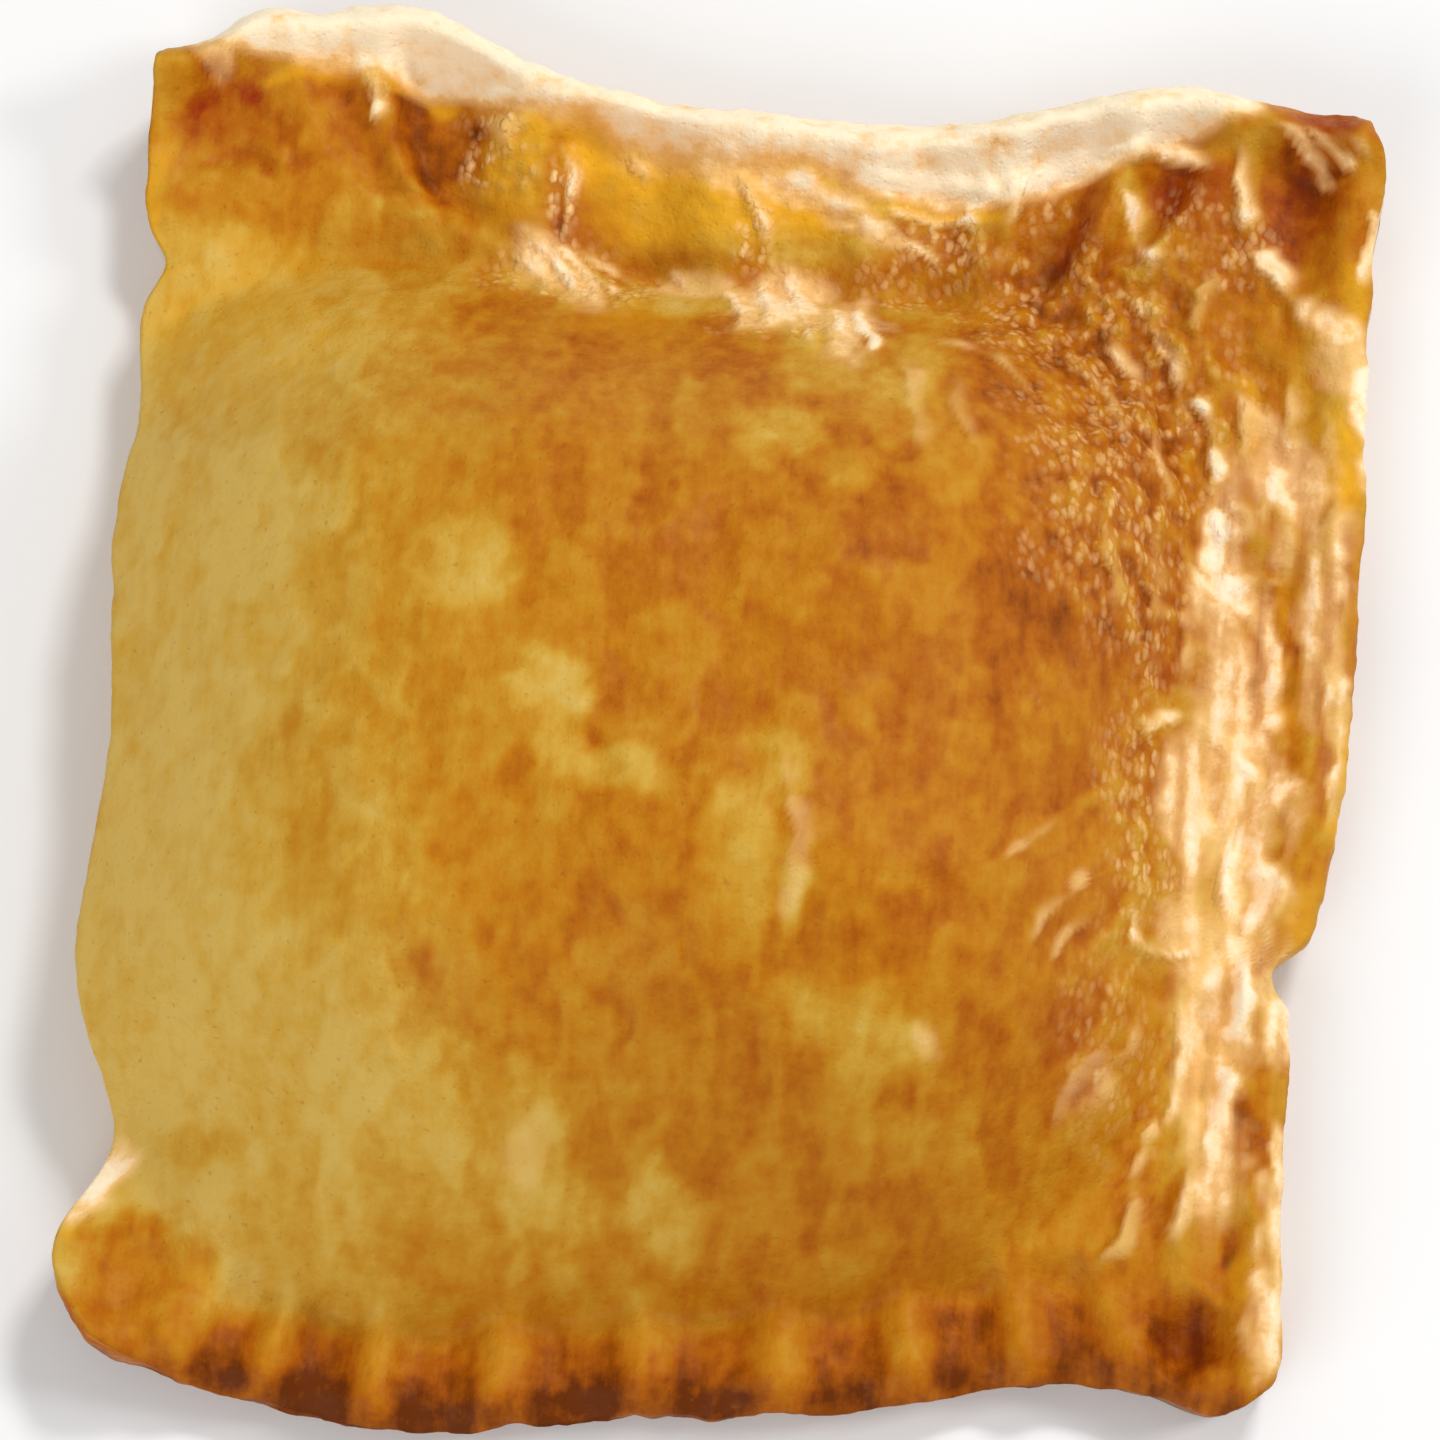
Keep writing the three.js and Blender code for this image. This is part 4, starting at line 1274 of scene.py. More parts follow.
@dataclass(frozen=True)
class BakedColours:
    """How far each place on the crust is baked, with painted light and shade, and where it is creamy,
    scorched or grainy.
    """

    across: tuple[float, ...] = (-34, -24, -20, -14, -6, 4, 16, 24, 33)
    levels: tuple[float, ...] = (0.12, 0.06, 0.22, 0.48, 0.6, 0.63, 0.66, 0.52, 0.48)
    drift_across: Unevenness = Unevenness(1.1, 3.4, 3.4, seed=71, octaves=3)
    drift_along: Unevenness = Unevenness(1.1, 3.4, 3.4, seed=74, octaves=3)
    front_level: float = 0.55
    front_fade: Pair = (3.0, 5.6)
    front_wave: Unevenness = Unevenness(1, 3, 3, seed=99)
    back_level: float = 0.48
    back_share: float = 0.7
    back_fade: Pair = (8, 11)
    # Painted light: paler towards the front and browner towards the back, to even out the lamps' fall-off
    light_falloff_tilt: float = 0.07
    backward_middle: float = 0.55
    backward_fade: Pair = (-24, 10)
    front_band: Pair = (6, 9)
    corner_middle: float = -1
    corner_fade: Pair = (24, 26)
    # Pressed hollows and fork marks are browner: partly baking, partly painted shade
    hollow_bake_and_shade: float = 0.06
    hollow_fade: Pair = (0.15, 1.0)
    hollow_fray: Unevenness = Unevenness(0.2, 1.3, 1.3, seed=97, octaves=2)
    fork_bake_and_shade: float = 0.2
    fork_fade: Pair = (3.7, 5.1)
    fork_fray: Unevenness = Unevenness(0.3, 1.5, 1, seed=98)
    # The dark foot of the front edge: browning and painted shade where the edge turns from the lamps
    foot_share: float = 0.95
    foot_start: float = -0.2
    foot_fray: Unevenness = Unevenness(0.4, 2.3, 1, seed=93)
    left_foot: FootBakeAndShade = FootBakeAndShade(level=(0.88, 1.1), reach=(3.6, 4.6))
    right_foot: FootBakeAndShade = FootBakeAndShade(level=(0.84, 0.93), reach=(3.0, 4.0))
    foot_rightward: Pair = (-3, 7)
    end_fade: Pair = (-27, -20)
    end_paler: float = 0.14
    end_shorter: float = 0.8
    mottle: float = 0.1
    islands: CrustyIslands = CrustyIslands()
    island_share: float = 0.7
    speckle: Unevenness = Unevenness(0.9, 0.75, 0.95, seed=89, octaves=2)
    brown_speckle: float = 0.6
    calm: float = 0.75
    calm_fade: Pair = (4, 7)
    # Painted light: what stands out is paler, a painted highlight, and what lies in hollows browner, a
    # painted shade
    highlit_crests: float = 0.6
    shaded_hollows: float = 0.8
    detail_limits: Pair = (-0.2, 0.35)
    baked_fibres: Unevenness = Unevenness(0.2, 0.7, 6, seed=109, octaves=2)
    cream_fibres: Unevenness = Unevenness(1, 0.7, 6, seed=107, octaves=2)
    fibre_lean: float = 0.04
    fibre_rightward: Pair = (22, 25.5)
    fibre_backward: Pair = (14, 20)
    bead_share: float = 0.75
    bead_detail: float = 2.0
    bead_clusters: Unevenness = Unevenness(0.6, 1.7, 2.3, seed=103, octaves=2)
    fewest_beads: float = 0.05
    # The lip's places, lines and fades set the painted highlight along the rolled lip at the back, where the
    # lamps catch it
    lip_places: tuple[float, ...] = (
        -30, -22, -19.6, -17.9, -14, -11, -8.8, -7.2, -3.6, -1.6, 0.4, 3, 6, 13, 16, 20.5, 24.6
    )
    lip_lines: tuple[float, ...] = (
        35.6, 35.4, 35.2, 34.6, 33.9, 33.5, 32.9, 31.8, 31.2, 30.8, 31.5, 31, 30, 30.3, 31.4, 33.7, 35.4
    )
    lip_run: Triple = (-30, 25.5, 1.5)
    lip_fray: Unevenness = Unevenness(0.4, 2.4, 1.2, seed=91, octaves=3)
    lip_strands: Unevenness = Unevenness(0.16, 3.5, 0.8, seed=101, octaves=2)
    strand_fade: Pair = (-0.2, 1)
    edge_cream: float = 0.75
    edge_cream_fade: Pair = (0, 1.2)
    crisp_fade: Pair = (-0.6, 0.4)
    soft_run: Triple = (-10, 5, 3)
    soft_fade: Pair = (-1.2, 2.2)
    soft_fray: Unevenness = Unevenness(0.5, 1.4, 1.1, seed=101)

    def drifted(self, x: Array, y: Array) -> tuple[Array, Array]:
        """Bends the plan a little, so that the patches get natural outlines.

        Args:
            x: places across the pie.
            y: places along it.

        Returns:
            The bent places.
        """
        return x + self.drift_across.at(x, y), y + self.drift_along.at(x, y)

    def bake(self, x: Array, y: Array, form: CrustForm, pressed: Array, detail: Array) -> Array:
        """Gives the level to which places on the upper face are baked, painted shade and highlight included.

        Args:
            x: places across the pie.
            y: places along it.
            form: the crust's form.
            pressed: how deep each place is pressed.
            detail: how far it stands out of its surroundings.

        Returns:
            Levels from 0 to 1.
        """
        bent_x, bent_y = self.drifted(x, y)
        level = np.interp(bent_x, self.across, self.levels)
        front = form.inset(SideName.FRONT, x, y)
        back = form.inset(SideName.BACK, x, y)
        level = mix(level, self.front_level, 1 - ease(front + self.front_wave.at(x, y), *self.front_fade))
        level = mix(level, self.back_level, self.back_share * (1 - ease(back, *self.back_fade)))
        # Painted light: paler towards the front, browner towards the back
        level = level + self.light_falloff_tilt * (ease(y, *self.backward_fade) - self.backward_middle)
        for patch in (*PALE_PATCHES, *OCHRE_PATCHES, *BROWN_PATCHES, *RIM_PATCHES):
            level = mix(level, patch.level, patch.amount * patch.share(bent_x, bent_y))
        at_front = 1 - ease(front, *self.front_band)
        at_corner = ease(np.abs(x - self.corner_middle), *self.corner_fade)
        hollow = ease(pressed + self.hollow_fray.at(x, y), *self.hollow_fade)
        fork = hollow * (1 - at_corner) * (1 - ease(front + self.fork_fray.at(x, 0), *self.fork_fade))
        # Browner hollows and fork marks: baking and painted shade
        level = level + mix(self.hollow_bake_and_shade * hollow, self.fork_bake_and_shade * fork, at_front)
        level = self.with_shaded_foot(level, x, front, fork)
        blotches = self.speckle.at(x, y) - self.island_share * self.islands.height(x, y)
        calm = 1 - self.calm * (1 - ease(front, *self.calm_fade))
        level = level + self.mottle * calm * np.where(blotches > 0, self.brown_speckle, 1) * blotches
        # Painted highlight on crests and painted shade in hollows
        crest_light_and_hollow_shade = np.where(detail > 0, self.highlit_crests, self.shaded_hollows)
        level = level - crest_light_and_hollow_shade * np.clip(detail, *self.detail_limits) + self.fibres(x, y, self.baked_fibres)
        return np.clip(level, 0, 1)

    def with_shaded_foot(self, level: Array, x: Array, front: Array, fork: Array) -> Array:
        """Darkens the foot of the front edge, most in the fork marks: browning, with painted shade where it
        turns from the lamps.

        Args:
            level: the levels so far.
            x: places across the pie.
            front: how far places lie inside the front edge.
            fork: how much of a fork mark is at each place.

        Returns:
            The levels with the foot.
        """
        rightward = ease(x, *self.foot_rightward)
        at_end = 1 - ease(x, *self.end_fade)
        left, right = self.left_foot, self.right_foot
        darkest = mix(mix(*left.level, fork), mix(*right.level, fork), rightward) - self.end_paler * at_end
        reach = mix(mix(*left.reach, fork), mix(*right.reach, fork), rightward) - self.end_shorter * at_end
        inward = ease(front + self.foot_fray.at(x, 0), self.foot_start, reach)
        return mix(level, darkest, self.foot_share * (1 - inward))

    def fibres(self, x: Array, y: Array, strands: Unevenness) -> Array:
        """Gives the long fibres of the layers along the right rim.

        Args:
            x: places across the pie.
            y: places along it.
            strands: which fibres.

        Returns:
            The fibres on the rim, and 0 elsewhere.
        """
        rim = ease(x, *self.fibre_rightward) * (1 - ease(y, *self.fibre_backward))
        return rim * strands.at(x + self.fibre_lean * y, y)

    def gathered(self, patches: tuple[Patch, ...], x: Array, y: Array) -> Array:
        """Gives the strongest of some patches at each place.

        Args:
            patches: the patches.
            x: places across the pie.
            y: places along it.

        Returns:
            Amounts from 0 to 1.
        """
        bent_x, bent_y = self.drifted(x, y)
        most = np.zeros_like(x)
        for patch in patches:
            most = np.maximum(most, patch.amount * patch.share(bent_x, bent_y))
        return most

    def grain(self, x: Array, y: Array, detail: Array) -> Array:
        """Gives how beaded places are: in clusters, and most on what stands out."""
        clusters = self.bead_share + self.bead_clusters.at(x, y) + self.bead_detail * detail
        return self.gathered(GRAIN_PATCHES, x, y) * np.clip(clusters, self.fewest_beads, 1)

    def cream(self, x: Array, y: Array) -> Array:
        """Gives how creamy places are: pale dry flakes and painted highlights, and the painted highlight
        along the rolled lip at the back.
        """
        past = y - np.interp(x, self.lip_places, self.lip_lines) + self.lip_fray.at(x, y)
        crisp = mix(self.edge_cream, 1, ease(past, *self.edge_cream_fade)) * ease(past, *self.crisp_fade)
        soft = ease(past + self.soft_fray.at(x, y), *self.soft_fade)
        strands = self.lip_strands.at(x, y) * ease(past, *self.strand_fade)
        lip = mix(crisp, soft, between(x, *self.soft_run)) + strands
        # Pale dry flakes and painted highlights from the patches
        dry = self.gathered(CREAM_AND_HIGHLIGHT_PATCHES, x, y) * (1 + self.fibres(x, y, self.cream_fibres))
        return np.maximum(lip * between(x, *self.lip_run), dry)


@dataclass
class Skin:
    """The points of the closed skin, ring by ring, with what is known of each one."""

    points: list[Array] = field(default_factory=list)
    masks: dict[str, list[Array]] = field(default_factory=dict)
    count: int = 0

    def add(self, points: Array, **masks: Array | float) -> int:
        """Adds a group of points.

        Args:
            points: their places in millimetres, one row for each.
            masks: a number for each point, or one for all, under each mask's name.

        Returns:
            The number of the group's first point.
        """
        first = self.count
        self.points.append(points)
        for name, values in masks.items():
            self.masks.setdefault(name, []).append(np.broadcast_to(values, len(points)))
        self.count += len(points)
        return first


@dataclass(frozen=True)
class ColourStop:
    """A colour of the crust at a level of baking."""

    level: float
    colour: Triple


def socket(nodes: bpy.types.NodeTree, kind: str, **values: object) -> bpy.types.Node:
    """Adds a node to a tree and sets its inputs and options by name.

    Args:
        nodes: the tree.
        kind: the node's type.
        values: inputs, by name with underscores for spaces, or else options.

    Returns:
        The node.
    """
    node = nodes.nodes.new(kind)
    for name, value in values.items():
        key = name.replace("_", " ")
        if key in node.inputs:
            node.inputs[key].default_value = value
        else:
            setattr(node, name, value)
    return node


def math_node(
    tree: bpy.types.NodeTree, operation: str, first: object, second: object, clamp: bool = False
) -> bpy.types.NodeSocket:
    """Adds a Math node.

    Args:
        tree: the node tree.
        operation: what it does.
        first: a socket or a number.
        second: a socket or a number.
        clamp: whether the result is kept from 0 to 1.

    Returns:
        The node's output.
    """
    node = tree.nodes.new("ShaderNodeMath")
    node.operation = operation
    node.use_clamp = clamp
    for slot, value in zip(node.inputs, (first, second)):
        if isinstance(value, bpy.types.NodeSocket):
            tree.links.new(value, slot)
        else:
            slot.default_value = value
    return node.outputs[0]


def mix_colours(
    tree: bpy.types.NodeTree, share: object, first: object, second: object
) -> bpy.types.NodeSocket:
    """Adds a node that mixes two colours.

    Args:
        tree: the node tree.
        share: a socket or a number from 0 to 1.
        first: the colour at 0, as a socket or three numbers.
        second: the colour at 1, as a socket or three numbers.

    Returns:
        The node's output.
    """
    node = tree.nodes.new("ShaderNodeMix")
    node.data_type = "RGBA"
    for number, value in zip(MIX_INPUTS, (share, first, second)):
        slot = node.inputs[number]
        if isinstance(value, bpy.types.NodeSocket):
            tree.links.new(value, slot)
        elif isinstance(value, tuple):
            slot.default_value = (*value, 1)
        else:
            slot.default_value = value
    return node.outputs[MIX_OUTPUT]


class OvenMottle:
    """A node group for the fine unevenness of baked dough: mottle, brushed streaks, specks, and pores."""

    name = "oven_mottle"
    brush_turn = -0.3
    brush_scale = (1.5, 0.3, 0.6)
    speck_level = 0.66
    speck_gain = 9.0
    pore_size = 0.28
    pore_gain = 3.5

    @classmethod
    def group(cls) -> bpy.types.NodeTree:
        """Builds the group, or finds it.

        Returns:
            The group's node tree, which takes a scale and puts out mottle, streaks, specks and pores.
        """
        if cls.name in bpy.data.node_groups:
            return bpy.data.node_groups[cls.name]
        tree = bpy.data.node_groups.new(cls.name, "ShaderNodeTree")
        scale = tree.interface.new_socket("Scale", in_out="INPUT", socket_type="NodeSocketFloat")
        scale.default_value = 1 / MM
        for output in ("Mottle", "Streaks", "Specks", "Pores"):
            tree.interface.new_socket(output, in_out="OUTPUT", socket_type="NodeSocketFloat")
        source = tree.nodes.new("NodeGroupInput")
        sink = tree.nodes.new("NodeGroupOutput")
        place = tree.nodes.new("ShaderNodeTexCoord")
        scaled = tree.nodes.new("ShaderNodeVectorMath")
        scaled.operation = "SCALE"
        tree.links.new(place.outputs["Object"], scaled.inputs[0])
        tree.links.new(source.outputs["Scale"], scaled.inputs["Scale"])
        mottle = socket(tree, "ShaderNodeTexNoise", Scale=0.7, Detail=5.0, Roughness=0.66)
        specks = socket(tree, "ShaderNodeTexNoise", Scale=2.3, Detail=2.0, Roughness=0.5)
        pores = socket(tree, "ShaderNodeTexVoronoi", Scale=1.9, Randomness=1.0)
        for node in (mottle, specks, pores):
            tree.links.new(scaled.outputs[0], node.inputs["Vector"])
        brushed = tree.nodes.new("ShaderNodeMapping")
        brushed.inputs["Rotation"].default_value = (0, 0, cls.brush_turn)
        brushed.inputs["Scale"].default_value = cls.brush_scale
        tree.links.new(scaled.outputs[0], brushed.inputs["Vector"])
        streak = socket(tree, "ShaderNodeTexNoise", Scale=1.0, Detail=3.0, Roughness=0.6)
        tree.links.new(brushed.outputs[0], streak.inputs["Vector"])
        tree.links.new(streak.outputs[0], sink.inputs["Streaks"])
        tree.links.new(mottle.outputs[0], sink.inputs["Mottle"])
        rare = math_node(tree, "SUBTRACT", specks.outputs[0], cls.speck_level)
        rare = math_node(tree, "MULTIPLY", rare, cls.speck_gain, clamp=True)
        tree.links.new(rare, sink.inputs["Specks"])
        pit = math_node(tree, "SUBTRACT", cls.pore_size, pores.outputs["Distance"])
        pit = math_node(tree, "MULTIPLY", pit, cls.pore_gain, clamp=True)
        tree.links.new(pit, sink.inputs["Pores"])
        return tree

    @classmethod
    def place(cls, tree: bpy.types.NodeTree, scale: float) -> bpy.types.Node:
        """Puts the group in a material.

        Args:
            tree: the material's node tree.
            scale: the group's scale, 1000 for sizes in millimetres.

        Returns:
            The group's node.
        """
        node = tree.nodes.new("ShaderNodeGroup")
        node.node_tree = cls.group()
        node.inputs["Scale"].default_value = scale
        return node


@dataclass(frozen=True)
class GlazedCrust:
    """The finish of the upper crust: egg-glazed puff pastry, baked from pale straw to dark brown, with
    painted highlights.
    """

    stops: tuple[ColourStop, ...] = (
        ColourStop(0.0, (0.66, 0.43, 0.09)),
        ColourStop(0.2, (0.62, 0.35, 0.042)),
        ColourStop(0.38, (0.56, 0.26, 0.016)),
        ColourStop(0.55, (0.52, 0.19, 0.006)),
        ColourStop(0.75, (0.42, 0.107, 0.002)),
        # The darkest stops also give the painted shade at the front foot
        ColourStop(0.88, (0.27, 0.06, 0.001)),
        ColourStop(1.0, (0.14, 0.027, 0.001)),
    )
    # Peach and cream paint highlights and glints, and are also the pale dry flakes and cut layers
    peach: Triple = (0.98, 0.62, 0.26)
    cream: Triple = (1.0, 0.85, 0.6)
    amber: Triple = (0.84, 0.42, 0.015)
    scorch: Triple = (0.30, 0.022, 0.003)
    speck: Triple = (0.30, 0.09, 0.01)
    beads_per_metre: float = 1750
    bead_bend: float = 0.0004
    layers_per_metre: Triple = (160, 160, 1500)
    mottle: float = 0.45
    brushed: float = 0.28
    roughness: float = 0.5
    coat: float = 0.02
    coat_roughness: float = 0.3
    sparkle: float = 0.1
    gloss_level: float = 0.07
    # The ground under the beads is browner: partly baking, partly painted shade between them
    bead_bake_and_shade: float = 0.08
    speck_share: float = 0.35
    peach_gain: float = 1.6
    # The beads' pale tops are painted glints
    bead_glint_cream: float = 0.55
    cream_start: float = 0.45
    cream_gain: float = 2.0
    fray: float = 2.0
    bead_stretch: Triple = (1.15, 0.75, 1)
    bead_narrowness: float = 2.8
    bead_glint: Pair = (0.15, 0.75)
    bead_rise: float = 0.14
    band_level: float = 0.42
    band_gain: float = 4.5
    band_cream: float = 0.6
    band_rise: float = 0.22
    rough_mottle: float = 0.5
    dry_roughness: float = 0.2
    dry_coat: float = 0.25
    mottle_rise: float = 0.18
    pore_rise: float = 0.035

    def material(self) -> bpy.types.Material:
        """Builds the finish.

        Returns:
            The material.
        """
        material = bpy.data.materials.new("glazed_crust")
        material.use_nodes = True
        tree = material.node_tree
        shader = tree.nodes["Principled BSDF"]
        masks = {
            name: socket(tree, "ShaderNodeAttribute", attribute_name=name).outputs["Fac"] for name in MASKS
        }
        uneven = OvenMottle.place(tree, 1 / MM)
        mottle = math_node(tree, "SUBTRACT", uneven.outputs["Mottle"], NOISE_MIDDLE)
        streaks = math_node(tree, "SUBTRACT", uneven.outputs["Streaks"], NOISE_MIDDLE)
        level = math_node(tree, "ADD", masks["bake"], math_node(tree, "MULTIPLY", mottle, self.mottle))
        level = math_node(tree, "ADD", level, math_node(tree, "MULTIPLY", streaks, self.brushed))
        # The beads' pale tops are painted glints
        beads, bead_height = self.beads(tree, masks["grain"])
        # Browner between the beads: baking and painted shade
        bake_and_shade_between_beads = math_node(tree, "MULTIPLY", masks["grain"], self.bead_bake_and_shade)
        level = math_node(tree, "ADD", level, bake_and_shade_between_beads, clamp=True)
        ramp = tree.nodes.new("ShaderNodeValToRGB")
        self.fill_ramp(ramp.color_ramp)
        tree.links.new(level, ramp.inputs[0])
        colour = mix_colours(tree, self.frayed(tree, masks["amber"], mottle), ramp.outputs[0], self.amber)
        colour = mix_colours(tree, self.frayed(tree, masks["scorch"], mottle), colour, self.scorch)
        speck = math_node(tree, "MULTIPLY", uneven.outputs["Specks"], self.speck_share)
        colour = mix_colours(tree, speck, colour, self.speck)
        # Peach and cream: painted highlights on the lip, crests and bead tops, over pale dry flakes
        cream = self.frayed(tree, masks["cream"], mottle)
        paler = math_node(tree, "MAXIMUM", cream, beads)
        paler = math_node(tree, "MULTIPLY", paler, self.peach_gain, clamp=True)
        colour = mix_colours(tree, paler, colour, self.peach)
        cream = math_node(tree, "MAXIMUM", cream, math_node(tree, "MULTIPLY", beads, self.bead_glint_cream))
        whitened = math_node(tree, "SUBTRACT", cream, self.cream_start)
        whitened = math_node(tree, "MULTIPLY", whitened, self.cream_gain, clamp=True)
        colour = mix_colours(tree, whitened, colour, self.cream)
        stripe, stripe_height = self.layers(tree, masks["layers"])
        colour = mix_colours(tree, stripe, colour, self.cream)
        tree.links.new(colour, shader.inputs["Base Color"])
        self.gloss(tree, shader, mottle, cream, masks["grain"])
        self.relief(tree, shader, uneven, bead_height, stripe_height)
        shader.inputs["Coat Roughness"].default_value = self.coat_roughness
        shader.inputs["Specular IOR Level"].default_value = self.gloss_level
        return material

    def fill_ramp(self, ramp: bpy.types.ColorRamp) -> None:
        """Sets the colours of baking on a ramp.

        Args:
            ramp: the ramp to fill.
        """
        while len(ramp.elements) < len(self.stops):
            ramp.elements.new(0.5)
        for element, stop in zip(ramp.elements, self.stops):
            element.position = stop.level
            element.color = (*stop.colour, 1)

    def frayed(
        self, tree: bpy.types.NodeTree, mask: bpy.types.NodeSocket, unevenness: bpy.types.NodeSocket
    ) -> bpy.types.NodeSocket:
        """Makes a soft mask uneven, more so in its middle than outside it.

        Args:
            tree: the material's node tree.
            mask: the mask.
            unevenness: fine unevenness around 0.

        Returns:
            The uneven mask.
        """
        uneven = math_node(tree, "ADD", math_node(tree, "MULTIPLY", unevenness, self.fray), 1.0)
        return math_node(tree, "MULTIPLY", mask, uneven, clamp=True)

    def beads(
        self, tree: bpy.types.NodeTree, mask: bpy.types.NodeSocket
    ) -> tuple[bpy.types.NodeSocket, bpy.types.NodeSocket]:
        """Adds the tiny beads that stand on the blistered shoulder, with painted glints on their tops.

        Args:
            tree: the material's node tree.
            mask: where the beads are.

        Returns:
            How much painted glint each place has, and heights in millimetres.
        """
        place = tree.nodes.new("ShaderNodeTexCoord")
        bend = socket(tree, "ShaderNodeTexNoise", Scale=self.beads_per_metre, Detail=1.0)
        tree.links.new(place.outputs["Object"], bend.inputs["Vector"])
        bent = socket(tree, "ShaderNodeVectorMath", operation="MULTIPLY_ADD")
        bent.inputs[1].default_value = (self.bead_bend,) * 3
        tree.links.new(bend.outputs["Color"], bent.inputs[0])
        tree.links.new(place.outputs["Object"], bent.inputs[2])
        stretched = tree.nodes.new("ShaderNodeMapping")
        stretched.inputs["Scale"].default_value = self.bead_stretch
        tree.links.new(bent.outputs[0], stretched.inputs["Vector"])
        cells = socket(tree, "ShaderNodeTexVoronoi", Scale=self.beads_per_metre)
        tree.links.new(stretched.outputs[0], cells.inputs["Vector"])
        chance = tree.nodes.new("ShaderNodeSeparateColor")
        tree.links.new(cells.outputs["Color"], chance.inputs[0])
        away = math_node(tree, "POWER", cells.outputs["Distance"], 2.0)
        away = math_node(tree, "MULTIPLY", away, self.bead_narrowness)
        top = math_node(tree, "SUBTRACT", 1.0, away, clamp=True)
        top = math_node(tree, "MULTIPLY", top, mask)
        # Painted glints on the beads' tops
        least, more = self.bead_glint
        pale = math_node(tree, "ADD", math_node(tree, "MULTIPLY", chance.outputs[0], more), least)
        return math_node(tree, "MULTIPLY", top, pale), math_node(tree, "MULTIPLY", top, self.bead_rise)

    def layers(
        self, tree: bpy.types.NodeTree, mask: bpy.types.NodeSocket
    ) -> tuple[bpy.types.NodeSocket, bpy.types.NodeSocket]:
        """Adds the thin layers that show on the cut edges.

        Args:
            tree: the material's node tree.
            mask: where the cut edges are.

        Returns:
            How much paler each place is, and heights in millimetres.
        """
        place = tree.nodes.new("ShaderNodeTexCoord")
        flattened = tree.nodes.new("ShaderNodeMapping")
        flattened.inputs["Scale"].default_value = self.layers_per_metre
        tree.links.new(place.outputs["Object"], flattened.inputs["Vector"])
        bands = socket(tree, "ShaderNodeTexNoise", Scale=1.0, Detail=3.0, Roughness=0.55)
        tree.links.new(flattened.outputs[0], bands.inputs["Vector"])
        band = math_node(tree, "SUBTRACT", bands.outputs[0], self.band_level)
        band = math_node(tree, "MULTIPLY", band, self.band_gain, clamp=True)
        band = math_node(tree, "MULTIPLY", band, mask)
        paler = math_node(tree, "MULTIPLY", band, self.band_cream)
        return paler, math_node(tree, "MULTIPLY", band, self.band_rise)

    def gloss(
        self,
        tree: bpy.types.NodeTree,
        shader: bpy.types.Node,
        mottle: bpy.types.NodeSocket,
        cream: bpy.types.NodeSocket,
        grain: bpy.types.NodeSocket,
    ) -> None:
        """Links the roughness and the glaze.

        Args:
            tree: the material's node tree.
            shader: its shader.
            mottle: soft unevenness around 0.
            cream: where the crust is creamy: its dry flakes and its painted highlights.
            grain: where tiny blisters sparkle.
        """
        rough = math_node(tree, "MULTIPLY", mottle, self.rough_mottle)
        rough = math_node(tree, "ADD", rough, self.roughness)
        dry = math_node(tree, "MULTIPLY", cream, self.dry_roughness)
        tree.links.new(math_node(tree, "ADD", rough, dry), shader.inputs["Roughness"])
        glaze = math_node(tree, "SUBTRACT", self.coat, math_node(tree, "MULTIPLY", cream, self.dry_coat))
        sparkle = math_node(tree, "MULTIPLY", grain, self.sparkle)
        glaze = math_node(tree, "ADD", glaze, sparkle, clamp=True)
        tree.links.new(glaze, shader.inputs["Coat Weight"])

    def relief(
        self,
        tree: bpy.types.NodeTree,
        shader: bpy.types.Node,
        uneven: bpy.types.Node,
        bead_height: bpy.types.NodeSocket,
        stripe_height: bpy.types.NodeSocket,
    ) -> None:
        """Links the finest relief to the normal.

        Args:
            tree: the material's node tree.
            shader: its shader.
            uneven: the placed oven mottle.
            bead_height: the tiny beads' heights in millimetres.
            stripe_height: the cut layers' heights in millimetres.
        """
        height = math_node(tree, "MULTIPLY", uneven.outputs["Mottle"], self.mottle_rise)
        pore = math_node(tree, "MULTIPLY", uneven.outputs["Pores"], self.pore_rise)
        height = math_node(tree, "SUBTRACT", height, pore)
        height = math_node(tree, "ADD", height, bead_height)
        height = math_node(tree, "ADD", height, stripe_height)
        bump = socket(tree, "ShaderNodeBump", Strength=1.0, Distance=MM)
        tree.links.new(height, bump.inputs["Height"])
        tree.links.new(bump.outputs[0], shader.inputs["Normal"])


